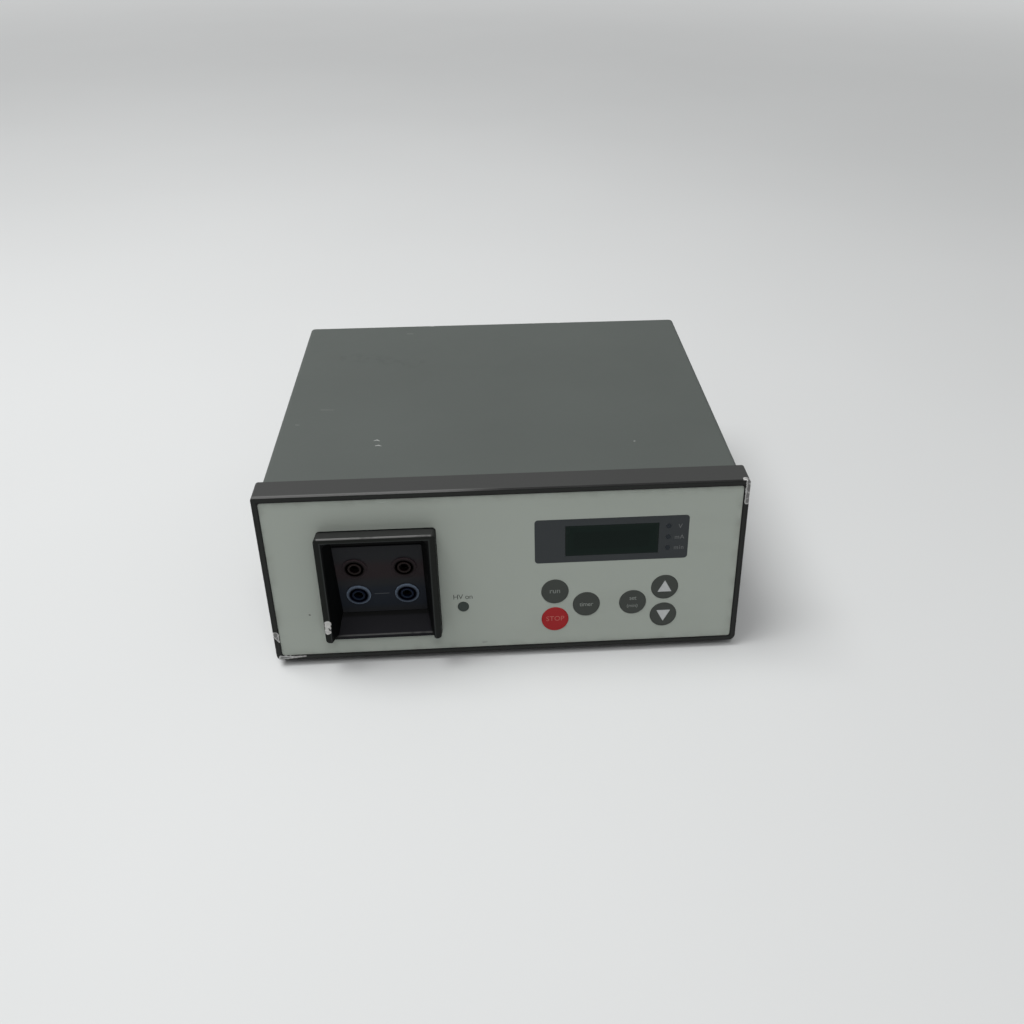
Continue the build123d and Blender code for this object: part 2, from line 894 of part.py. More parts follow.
def cover_screws():
    """Pan-head screws through the cover's sides into the chassis flanges."""
    screws = []
    for side, y, z in cover_screw_places():
        length = 2 * sheet + slip + screw_reach
        screw = screw_down(0, 0, 0, length, screw_radius, screw_head_radius, screw_head_height)
        screws.append(Pos(side * half_cover, y, z) * Rot(0, side * 90, 0) * screw)
    return group(screws)


def foot_places():
    """Where the four feet stand."""
    side = half_cover - foot_inset_x
    return [(x, y) for x in (-side, side) for y in foot_places_y]


def main_spacer_places():
    """Corners of the main board where its spacers stand."""
    side = main_board_width / 2 - main_spacer_inset
    places_y = (main_board_front + main_spacer_inset, main_board_back - main_spacer_inset)
    return [(x, y) for x in (-side, side) for y in places_y]


def rear_screw_places():
    """Screws up through the floor into the rear panel's flange."""
    y = panel_front_y - rear_flange / 2
    return [(x, y) for x in (-inner_half * 0.8, inner_half * 0.8)]


def base_chassis():
    """Floor tray with two side flanges, vent slots and screw holes."""
    floor = block(-inner_half, inner_half, chassis_front, panel_front_y, cover_low, floor_top)
    flange_front = bezel_back + 1
    for side in (-1, 1):
        outer = side * inner_half
        inner = side * (inner_half - sheet)
        flange = block(
            min(outer, inner), max(outer, inner), flange_front, panel_front_y, floor_top,
            floor_top + floor_flange,
        )
        floor = floor + flange
    for side, y, z in cover_screw_places():
        hole = Pos(side * inner_half, y, z) * Rot(0, 90, 0) * Cylinder(screw_radius + screw_gap, 6 * sheet)
        floor = floor - hole
    for centre in vent_centres:
        for i in range(vent_count):
            y = vent_start + i * vent_pitch
            slot = Pos(centre, y, floor_top) * vent_cutter(vent_length, vent_width)
            floor = floor - slot
    for x, y in bezel_screw_places() + foot_places() + rear_screw_places():
        floor = floor - rod_z(x, y, screw_radius + screw_gap, 0, floor_top + 1)
    for x, y in main_spacer_places():
        floor = floor - rod_z(x, y, small_screw_radius + screw_gap, 0, floor_top + 1)
    return floor


def vent_cutter(length, width):
    """Cutter for one vent slot along X."""
    return Pos(0, 0, -2 * sheet) * extrude(SlotOverall(length, width), 4 * sheet)


def bezel_screws():
    """Sunk screws that hold the bezel to the floor, heads below."""
    screws = []
    length = floor_top - screw_head_height + screw_reach
    for x, y in bezel_screw_places():
        screw = screw_down(0, 0, 0, length, screw_radius, screw_head_radius, screw_head_height)
        screws.append(Pos(x, y, screw_head_height) * Rot(180, 0, 0) * screw)
    return group(screws)


def rubber_feet():
    """Four round feet, wider at the top, with a recess for the screw head."""
    feet = []
    height = cover_low + foot_gap
    for x, y in foot_places():
        foot = Pos(x, y, (cover_low - foot_gap) / 2) * Cone(foot_radius - foot_taper, foot_radius, height)
        foot = foot - rod_z(x, y, foot_recess_radius, -foot_gap - 1, foot_recess_depth - foot_gap)
        foot = foot - rod_z(x, y, screw_radius + screw_gap, -foot_gap, cover_low + 1)
        feet.append(foot)
    return group(feet)


def foot_screws():
    """Screws through the feet into the floor."""
    screws = []
    seat = foot_recess_depth - foot_gap
    for x, y in foot_places():
        length = floor_top - seat + screw_reach
        screw = screw_down(0, 0, 0, length, screw_radius, screw_head_radius, screw_head_height)
        screws.append(Pos(x, y, seat) * Rot(180, 0, 0) * screw)
    return group(screws)


def rear_panel_screws():
    """Screws up through the floor into the rear panel's flange."""
    screws = []
    for x, y in rear_screw_places():
        length = sheet + rear_panel_thickness + screw_reach
        screw = screw_down(0, 0, 0, length, screw_radius, screw_head_radius, screw_head_height)
        screws.append(Pos(x, y, cover_low) * Rot(180, 0, 0) * screw)
    return group(screws)


def fan_hole_places():
    """The fan's four corner holes."""
    half = fan_hole_spacing / 2
    return [(fan_x + dx, fan_z + dz) for dx in (-half, half) for dz in (-half, half)]


def rear_panel():
    """Rear plate with a flange on the floor and openings for inlet, switch and fan."""
    top = cover_top - sheet - slip
    plate = block(-inner_half, inner_half, panel_front_y, panel_back_y, floor_top, top)
    plate = fillet(plate.edges().filter_by(Axis.Y).group_by(Axis.Z)[-1], cover_bend_radius)
    flange = block(
        -inner_half + sheet + slip,
        inner_half - sheet - slip,
        panel_front_y - rear_flange,
        panel_front_y,
        floor_top,
        floor_top + rear_panel_thickness,
    )
    plate = plate + flange
    plate = plate - centred_block(inlet_x, inlet_z, inlet_width + slip, inlet_height + slip, 0, case_depth)
    body_width = switch_width - 2 * switch_body_inset
    body_height = switch_height - 2 * switch_body_inset
    plate = plate - centred_block(
        switch_x, switch_z, body_width + slip, body_height + slip, 0, case_depth
    )
    plate = plate - rod_y(fan_x, fan_z, fan_bore_radius - 0.5, panel_front_y - 1, case_depth)
    for x, z in fan_hole_places():
        plate = plate - rod_y(x, z, fan_hole_radius, panel_front_y - 1, case_depth)
    for x, y in rear_screw_places():
        hole = rod_z(x, y, screw_radius + screw_gap, floor_top - 1, floor_top + rear_panel_thickness + 1)
        plate = plate - hole
    return plate


def centred_block(x, z, width, height, y0, y1):
    """Box between two positions along Y, centred on X and Z."""
    return block(x - width / 2, x + width / 2, y0, y1, z - height / 2, z + height / 2)


def mains_inlet():
    """Inlet body in the rear panel with its mouth and, below, the pocket for the fuse drawer."""
    width = inlet_width + 2 * inlet_flange_margin
    height = inlet_height + 2 * inlet_flange_margin
    flange = rounded_block_y(
        inlet_x - width / 2, inlet_x + width / 2, panel_back_y, inlet_face_y,
        inlet_z - height / 2, inlet_z + height / 2, inlet_flange_margin,
    )
    flange = chamfer(flange.faces().sort_by(Axis.Y)[-1].edges(), inlet_chamfer)
    front = panel_back_y - inlet_depth
    body = centred_block(inlet_x, inlet_z, inlet_width, inlet_height, front, panel_back_y)
    mouth = rounded_block_y(
        inlet_x - mouth_width / 2, inlet_x + mouth_width / 2, inlet_face_y - mouth_depth,
        inlet_face_y + 1, mouth_z - mouth_height / 2, mouth_z + mouth_height / 2, mouth_radius,
    )
    inlet = flange + body - mouth
    for dx, dz in pin_offsets():
        slot = centred_block(
            inlet_x + dx, mouth_z + dz, pin_thickness, pin_width, front - 1, inlet_face_y
        )
        inlet = inlet - slot
    face = centred_block(
        inlet_x, drawer_z, drawer_width + 2 * drawer_gap, drawer_height + 2 * drawer_gap,
        inlet_face_y - drawer_face - drawer_gap, inlet_face_y + 1,
    )
    pocket = centred_block(
        inlet_x, drawer_z, drawer_body_width + 2 * drawer_gap, drawer_body_height + 2 * drawer_gap,
        inlet_face_y - drawer_face - drawer_body_length - drawer_gap, inlet_face_y,
    )
    return inlet - face - pocket


def pin_offsets():
    """Places of the three inlet pins about the mouth's centre."""
    return [(-pin_spacing, -pin_rise / 2), (pin_spacing, -pin_rise / 2), (0, pin_rise / 2)]


def inlet_pins():
    """Three flat pins of the mains inlet, with tails behind the body."""
    pins = []
    front = panel_back_y - inlet_depth - pin_tail
    for dx, dz in pin_offsets():
        pin = centred_block(
            inlet_x + dx, mouth_z + dz, pin_thickness, pin_width, front, inlet_face_y - pin_setback
        )
        pin = chamfer(pin.faces().sort_by(Axis.Y)[-1].edges(), pin_thickness * 0.25)
        pins.append(pin)
    return group(pins)


def fuse_drawer():
    """Drawer that slides out of the inlet with two fuses."""
    face = centred_block(
        inlet_x, drawer_z, drawer_width, drawer_height, inlet_face_y - drawer_face, inlet_face_y
    )
    grip = centred_block(
        inlet_x, drawer_z - drawer_height / 2, drawer_width / 3, drawer_height / 4,
        inlet_face_y - drawer_face * 0.6, inlet_face_y + 1,
    )
    back = inlet_face_y - drawer_face
    body = centred_block(
        inlet_x, drawer_z, drawer_body_width, drawer_body_height, back - drawer_body_length, back
    )
    drawer = face + body - grip
    for dx in (-fuse_spacing / 2, fuse_spacing / 2):
        trough = centred_block(
            inlet_x + dx, drawer_z + drawer_body_height / 2 - fuse_radius,
            2 * fuse_radius, 2 * fuse_radius, back - fuse_setback - fuse_length, back - fuse_setback,
        )
        drawer = drawer - trough
    return drawer


def fuses():
    """Two glass fuses lying in the drawer."""
    rods = []
    for dx in (-fuse_spacing / 2, fuse_spacing / 2):
        z = drawer_z + drawer_body_height / 2 - fuse_radius
        end = inlet_face_y - drawer_face - fuse_setback
        rods.append(rod_y(inlet_x + dx, z, fuse_radius, end - fuse_length, end))
    return group(rods)


def switch_housing():
    """Frame and body of the mains switch, with the well that the rocker tips in."""
    frame = rounded_block_y(
        switch_x - switch_width / 2, switch_x + switch_width / 2, panel_back_y, switch_face_y,
        switch_z - switch_height / 2, switch_z + switch_height / 2, switch_corner_radius,
    )
    frame = chamfer(frame.faces().sort_by(Axis.Y)[-1].edges(), switch_chamfer)
    body = centred_block(
        switch_x, switch_z, switch_width - 2 * switch_body_inset, switch_height - 2 * switch_body_inset,
        switch_face_y - switch_depth, panel_back_y,
    )
    reach = rocker_height / 2 / math.cos(math.radians(rocker_throw_deg / 2))
    well = centred_block(
        switch_x, switch_z, rocker_width + 2 * rocker_gap, 2 * (reach + 2 * rocker_gap),
        switch_face_y - switch_well, switch_face_y + 1,
    )
    pivot = Pos(*rocker_pivot) * Rot(0, 90, 0) * Cylinder(
        rocker_pin_radius + rocker_pin_gap, rocker_pin_length + 2 * rocker_pin_end_gap
    )
    back = switch_face_y - switch_depth
    tails = [
        centred_block(switch_x, switch_z + rise, switch_tail_width, switch_tail_thickness,
                      back - switch_tail, back)
        for rise in (-switch_tail_spacing / 2, switch_tail_spacing / 2)
    ]
    return frame + body + tails - well - pivot


def mains_rocker():
    """Dished rocker on two short pivot pins, modelled in its off position."""
    half = rocker_height / 2
    pivot_y = rocker_pivot[1]
    middle = rocker_pivot_depth + rocker_proud
    profile = [
        (pivot_y - rocker_heel, switch_z - half * 0.7),
        (pivot_y - rocker_heel, switch_z + half * 0.7),
        (pivot_y + rocker_shoulder, switch_z + half),
        (pivot_y + middle + rocker_dish * 0.5, switch_z + half),
        (pivot_y + middle - rocker_dish * 0.5, switch_z),
        (pivot_y + middle + rocker_dish * 0.5, switch_z - half),
        (pivot_y + rocker_shoulder, switch_z - half),
    ]
    rocker = prism_x(profile, switch_x - rocker_width / 2, switch_x + rocker_width / 2)
    ridge = rocker.edges().filter_by(Axis.X).group_by(Axis.Y)[-1]
    rocker = fillet(ridge, rocker_ridge_round)
    pins = Pos(*rocker_pivot) * Rot(0, 90, 0) * Cylinder(rocker_pin_radius, rocker_pin_length)
    return turned(rocker + pins, rocker_pivot, (1, 0, 0), rocker_throw_deg / 2)


def fan_frame():
    """Square fan frame with two corner plates, an open ring, struts and the motor cup."""
    half = fan_size / 2
    x0, x1, z0, z1 = fan_x - half, fan_x + half, fan_z - half, fan_z + half
    frame = rounded_block_y(x0, x1, fan_front_y, panel_front_y, z0, z1, fan_corner_radius)
    frame = frame - rod_y(fan_x, fan_z, fan_bore_radius, fan_front_y - 1, panel_front_y + 1)
    wall = rod_y(fan_x, fan_z, fan_bore_radius + fan_wall, fan_front_y, panel_front_y)
    wall = wall - rod_y(fan_x, fan_z, fan_bore_radius, fan_front_y - 1, panel_front_y + 1)
    waist = block(x0 - 1, x1 + 1, fan_front_y + fan_plate, panel_front_y - fan_plate, z0 - 1, z1 + 1)
    frame = (frame - waist) + (wall & block(x0, x1, fan_front_y, panel_front_y, z0, z1))
    for x, z in fan_hole_places():
        frame = frame - rod_y(x, z, fan_hole_radius, fan_front_y - 1, panel_front_y + 1)
    cup = rod_y(fan_x, fan_z, motor_cup_radius, fan_front_y, cup_back_y)
    struts = [
        Pos(fan_x, 0, fan_z) * Rot(0, angle, 0)
        * block(motor_cup_radius - 1, fan_bore_radius + fan_wall / 2, fan_front_y, fan_front_y + fan_plate,
                -strut_width / 2, strut_width / 2)
        for angle in (45, 135, 225, 315)
    ]
    end = cup_back_y - shaft_seat - shaft_end_gap
    bearing = rod_y(fan_x, fan_z, shaft_radius + shaft_gap, end, cup_back_y + 1)
    return frame + cup + struts - bearing


def fan_rotor():
    """Hub with twisted blades on a short shaft."""
    front = cup_back_y + hub_gap
    back = front + rotor_length
    hub = rod_y(fan_x, fan_z, hub_radius, front, back)
    hub = fillet(hub.edges().sort_by(Axis.Y)[-1], hub_round)
    shaft = rod_y(fan_x, fan_z, shaft_radius, cup_back_y - shaft_seat, front)
    reach = blade_radius - hub_radius + blade_root
    blade_width = (rotor_length - 2 * hub_round) / math.cos(math.radians(blade_pitch_deg))
    middle = hub_radius - blade_root + reach / 2
    limit = rod_y(fan_x, fan_z, blade_radius, front + blade_end_gap, back - blade_end_gap)
    rotor = hub + shaft
    for i in range(blade_count):
        blade = Pos(middle, 0, 0) * Rot(blade_pitch_deg, 0, 0) * Box(reach, blade_width, blade_thickness)
        place = Pos(fan_x, (front + back) / 2, fan_z) * Rot(0, i * 360 / blade_count, 0)
        rotor = rotor + ((place * blade) & limit)
    return rotor


def finger_guard():
    """Wire guard over the fan: rings on two crossed wires that end in screw eyes."""
    span = fan_hole_spacing * math.sqrt(2)
    wires = []
    for angle in (45, 135):
        reach = span - 2 * (guard_eye_radius - guard_eye_overlap)
        wire = Rot(0, angle, 0) * Rot(0, 90, 0) * Cylinder(guard_wire_radius, reach)
        wires.append(Pos(fan_x, guard_y, fan_z) * wire)
    guard = wires[0] + wires[1]
    for radius in guard_rings:
        ring = Rot(90, 0, 0) * Torus(radius, guard_wire_radius)
        guard = guard + Pos(fan_x, guard_y + guard_ring_rise, fan_z) * ring
    for x, z in fan_hole_places():
        eye = rod_y(x, z, guard_eye_radius, panel_back_y, panel_back_y + guard_eye_thickness)
        guard = guard + eye
    for x, z in fan_hole_places():
        guard = guard - rod_y(x, z, fan_hole_radius, panel_back_y - 1, guard_y + fan_depth)
    return guard


def fan_screws():
    """Screws through guard, rear panel and fan frame."""
    seat = panel_back_y + guard_eye_thickness
    length = guard_eye_thickness + rear_panel_thickness + fan_plate + screw_reach
    screws = []
    for x, z in fan_hole_places():
        head_radius = guard_eye_radius - 0.3
        screw = screw_rear(x, z, seat, length, fan_screw_radius, head_radius, screw_head_height)
        screws.append(screw)
    return group(screws)


def main_board():
    """Circuit board on spacers above the floor."""
    half = main_board_width / 2
    board = block(-half, half, main_board_front, main_board_back, board_low, board_top)
    for x, y in main_spacer_places():
        board = board - rod_z(x, y, small_screw_radius + screw_gap, board_low - 1, board_top + 1)
    return board


def main_board_spacers():
    """Round spacers under the main board."""
    spacers = []
    for x, y in main_spacer_places():
        spacer = rod_z(x, y, main_spacer_radius, floor_top, board_low)
        spacers.append(spacer - rod_z(x, y, small_screw_radius + screw_gap, floor_top - 1, board_low + 1))
    return group(spacers)


def main_board_screws():
    """Screws down through the main board and its spacers into the floor."""
    screws = []
    for x, y in main_spacer_places():
        length = board_top - cover_low
        screw = screw_down(
            x, y, board_top, length, small_screw_radius, small_head_radius, small_head_height
        )
        screws.append(screw)
    return group(screws)


def transformer_core():
    """Ferrite core with two windows around a centre leg."""
    half = core_width / 2
    y0 = transformer_y - core_length / 2
    y1 = transformer_y + core_length / 2
    core = block(transformer_x - half, transformer_x + half, y0, y1, board_top, board_top + core_height)
    window_half = core_height / 2 - core_leg * 0.7
    middle = board_top + core_height / 2
    for side in (-1, 1):
        near = transformer_x + side * core_leg / 2
        far = near + side * core_window
        window = block(min(near, far), max(near, far), y0 - 1, y1 + 1, middle - window_half,
                       middle + window_half)
        core = core - window
    return core


def transformer_winding():
    """Winding around the centre leg, filling the core's windows."""
    gap = slip
    middle = board_top + core_height / 2
    window_half = core_height / 2 - core_leg * 0.7 - gap
    outer_half = core_leg / 2 + core_window - gap
    bulge = core_window * 0.6
    y0 = transformer_y - core_length / 2 - bulge
    y1 = transformer_y + core_length / 2 + bulge
    low = middle - window_half
    high = middle + window_half
    winding = block(transformer_x - outer_half, transformer_x + outer_half, y0, y1, low, high)
    winding = fillet(winding.edges().filter_by(Axis.Z), bulge * 0.8)
    leg = block(
        transformer_x - core_leg / 2 - gap, transformer_x + core_leg / 2 + gap,
        transformer_y - core_length / 2 - gap, transformer_y + core_length / 2 + gap, low - 1, high + 1,
    )
    return winding - leg


def heat_sink():
    """Upright aluminium extrusion with fins towards the case's side."""
    y0 = main_board_front + sink_end_gap
    y1 = main_board_back - sink_end_gap
    sink = block(sink_x, sink_x + sink_base, y0, y1, board_top, board_top + sink_height)
    pitch = (sink_height - sink_fin) / (sink_fins - 1)
    for i in range(sink_fins):
        z = board_top + i * pitch
        fin = block(sink_x + sink_base, sink_x + sink_base + sink_fin_length, y0, y1, z, z + sink_fin)
        sink = sink + fin
    return sink


def power_transistors():
    """Three flat-packed transistors on the heat sink's face."""
    thick, wide, tall = transistor_size
    bodies = []
    leg_wide, leg_deep = transistor_leg
    low = board_top + transistor_rise
    for place in (-1, 0, 1):
        y = main_board_middle + place * transistor_pitch
        body = block(sink_x - thick, sink_x, y - wide / 2, y + wide / 2, low, low + tall)
        for step in (-transistor_leg_pitch, 0, transistor_leg_pitch):
            leg = Box(leg_wide, leg_deep, transistor_rise)
            body = body + Pos(sink_x - thick / 2, y + step, (board_top + low) / 2) * leg
        bodies.append(body)
    return group(bodies)


def bulk_capacitors():
    """Three upright can capacitors."""
    cans = []
    for y in capacitor_places_y:
        can = rod_z(capacitor_x, y, capacitor_radius, board_top, board_top + capacitor_height)
        can = fillet(can.edges().sort_by(Axis.Z)[-1], capacitor_round)
        cans.append(can)
    return group(cans)


def tube(points, radius, bend):
    """Round lead along straight runs joined by arcs."""
    path = FilletPolyline(*points, radius=bend)
    start = Plane(origin=path @ 0, z_dir=path % 0)
    return sweep(start * Circle(radius), path=path)


def output_leads():
    """Four insulated leads from the socket tails down to the main board."""
    leads = []
    for x in socket_columns:
        for i, z in enumerate(socket_rows):
            reach = main_board_front + lead_landing + i * lead_row_step
            points = [(x, socket_tail_end, z), (x, reach, z), (x, reach, board_top)]
            leads.append(tube(points, lead_radius, lead_bend))
    return group(leads)


def ribbon_cable():
    """Flat cable from the front board back to the main board."""
    y0, z0 = lean_point(front_board_back, key_rows[1])
    y1 = main_board_front + ribbon_landing
    inner_y = y1 - ribbon_thickness
    low_z = z0 - ribbon_thickness
    outline = [
        (y0, z0),
        (y1, z0 + ribbon_rise),
        (y1, board_top),
        (inner_y, board_top),
        (inner_y, low_z + ribbon_rise),
        (lean_line(front_board_back, low_z), low_z),
    ]
    return prism_x(outline, ribbon_x, ribbon_x + ribbon_width)


def mains_leads():
    """Leads from the inlet's pins down to the main board."""
    leads = []
    start_y = panel_back_y - inlet_depth - pin_tail
    for i, (dx, dz) in enumerate(pin_offsets()):
        x = inlet_x + dx
        z = mouth_z + dz
        turn_y = start_y - lead_drop + i * mains_lead_step
        points = [(x, start_y, z), (x, turn_y, z), (x, turn_y, board_top)]
        leads.append(tube(points, lead_radius, lead_bend))
    return group(leads)


def socket_names():
    """Node name, column and row of each socket."""
    names = {}
    for column, side in zip(socket_columns, ("left", "right")):
        names["socket_blue_" + side] = (column, socket_rows[0])
        names["socket_red_" + side] = (column, socket_rows[1])
    return names


def all_pieces():
    """Every piece by name, in the upright frame."""
    makers = [
        base_chassis, top_cover, rear_panel, front_bezel, front_subpanel, panel_overlay, display_filter,
        display_module, unit_lamps, hv_lamp, socket_housing, socket_plate, contact_sleeves,
        socket_tips_red, socket_tips_blue, socket_nuts, housing_screws, subpanel_screws, front_board,
        front_board_spacers, front_board_screws,
        key_switches, main_board, main_board_spacers, main_board_screws, transformer_core,
        transformer_winding, heat_sink, power_transistors, bulk_capacitors, output_leads, ribbon_cable,
        mains_leads, mains_inlet, inlet_pins, fuse_drawer, fuses, switch_housing, mains_rocker,
        fan_frame, fan_rotor, finger_guard, fan_screws, rubber_feet, foot_screws, cover_screws,
        bezel_screws, rear_panel_screws,
    ]
    pieces = {maker.__name__: maker() for maker in makers}
    for name, (x, z) in socket_names().items():
        pieces[name] = safety_socket(x, z)
    for name, place in key_places.items():
        pieces[name] = key(place)
    return pieces


pieces = all_pieces()
whole = Compound([solid for shape in pieces.values() for solid in shape.solids()]).bounding_box()
shift = (-(whole.min.X + whole.max.X) / 2, -(whole.min.Y + whole.max.Y) / 2, -whole.min.Z)

os.makedirs("parts", exist_ok=True)
for name, shape in pieces.items():
    export_step(Pos(*shift) * shape, "parts/" + name + ".step")
print("shift", [round(value, 4) for value in shift])
print("size", [round(value, 3) for value in whole.size])
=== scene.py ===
import bpy
import math
from mathutils import Euler, Matrix, Vector


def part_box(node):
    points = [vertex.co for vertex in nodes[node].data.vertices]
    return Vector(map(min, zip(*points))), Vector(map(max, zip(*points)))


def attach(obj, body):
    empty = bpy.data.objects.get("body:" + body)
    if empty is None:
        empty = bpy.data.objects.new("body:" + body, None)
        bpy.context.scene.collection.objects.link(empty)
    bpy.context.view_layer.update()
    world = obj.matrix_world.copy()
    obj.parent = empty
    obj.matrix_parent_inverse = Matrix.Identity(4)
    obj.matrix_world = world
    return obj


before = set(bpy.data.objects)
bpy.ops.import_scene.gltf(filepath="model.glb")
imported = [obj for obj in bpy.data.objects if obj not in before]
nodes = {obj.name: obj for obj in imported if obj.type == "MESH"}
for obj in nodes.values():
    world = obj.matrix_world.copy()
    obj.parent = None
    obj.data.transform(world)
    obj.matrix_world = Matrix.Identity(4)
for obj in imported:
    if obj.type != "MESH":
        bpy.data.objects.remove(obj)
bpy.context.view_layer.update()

# The row frame is in metres. Sizes named here are in millimetres, and places in millimetres from the lower
# front edge of the bezel. On the panel, across is X, height runs up the slope, and depth runs into the case,
# square to it. The edges of a field are its left, right, low and high ones.
mm = 0.001
lean = math.radians(12.56)
case_length = 205.7
half_case = 120.0
cover_top = 88.0
cover_side = 117.9
panel_top = 92.3
film_depth = 0.5
film_edges = (-117.0, 117.0, 3.0, 89.3)
display_edges = (14.3, 91.2, 50.75, 74.7)
window_edges = (29.6, 76.1, 54.4, 70.9)
digit_edges = (34.0, 71.5, 58.2, 67.2)
key_depth = 0.3
arrow_column = 80.7
upper_key_row = 34.25
lower_key_row = 17.9
hood_middle = -62.9
hood_half_width = 29.0
hood_rail = 3.3
hood_bar = 2.8
hood_top = 73.1
floor_lip = 14.2
socket_spacing = 24.4
upper_sockets = 50.7
lower_sockets = 33.2
ribbon_edge = 40.0
wire_pitch = 1.27
tape_width = 6.0
fuse_cap = 5.2
stripe_width = 2.2
rocker_pivot = (44.0, 202.7, 50.0)
rocker_rest = math.radians(7.0)
rocker_dish = math.atan2(2.2, 8.0)
rocker_face_out = 4.165
rocker_face_up = 4.2
case_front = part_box("top_cover")[1].y - case_length * mm
case_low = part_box("front_bezel")[0].z


def panel_point(across, height, depth):
    """A point of the row frame from its place on the panel, in millimetres."""
    y = (height * math.sin(lean) + depth * math.cos(lean)) * mm
    z = (height * math.cos(lean) - depth * math.sin(lean)) * mm
    return Vector((across * mm, case_front + y, case_low + z))


def upright_point(x, y, z):
    """A point of the row frame from its place in the upright case, in millimetres."""
    return Vector((x * mm, case_front + y * mm, case_low + z * mm))


# Materials

class Level:
    """A number that varies over a surface. Sums on it add Math nodes to its tree."""

    def __init__(self, owner, socket):
        self.owner = owner
        self.socket = socket

    def combine(self, operation, first, second):
        made = self.owner.node("ShaderNodeMath", {"operation": operation}, {0: first, 1: second})
        return Level(self.owner, made.outputs[0])

    def __add__(self, other):
        return self.combine("ADD", self, other)

    def __radd__(self, other):
        return self.combine("ADD", other, self)

    def __sub__(self, other):
        return self.combine("SUBTRACT", self, other)

    def __rsub__(self, other):
        return self.combine("SUBTRACT", other, self)

    def __mul__(self, other):
        return self.combine("MULTIPLY", self, other)

    def __rmul__(self, other):
        return self.combine("MULTIPLY", other, self)

    def __truediv__(self, other):
        return self.combine("DIVIDE", self, other)

    def __pow__(self, other):
        return self.combine("POWER", self, other)

    def __abs__(self):
        return self.combine("ABSOLUTE", self, 0.0)

    def least(self, other):
        return self.combine("MINIMUM", self, other)

    def most(self, other):
        return self.combine("MAXIMUM", self, other)

    def fraction(self):
        return self.combine("FRACT", self, 0.0)


class NodeTree:
    """A tree of shader nodes, and the one way that nodes are added to it."""

    def __init__(self, tree):
        self.tree = tree

    def feed(self, target, value):
        """Link a level or an output to a socket, or set a plain value on it."""
        if isinstance(value, Level):
            value = value.socket
        if isinstance(value, bpy.types.NodeSocket):
            self.tree.links.new(value, target)
        else:
            target.default_value = value

    def node(self, kind, settings=None, values=None):
        """Any node: its type, its settings, and the values or links of its sockets."""
        made = self.tree.nodes.new(kind)
        for name, value in (settings or {}).items():
            setattr(made, name, value)
        for socket, value in (values or {}).items():
            self.feed(made.inputs[socket], value)
        return made

    def in_sight(self):
        """1 to the camera, to gloss and to glass, which show a pale room, and 0 to the light on the case."""
        rays = self.node("ShaderNodeLightPath").outputs
        sight = Level(self, rays["Is Camera Ray"])
        sight = sight.most(Level(self, rays["Is Glossy Ray"]))
        return sight.most(Level(self, rays["Is Transmission Ray"]))


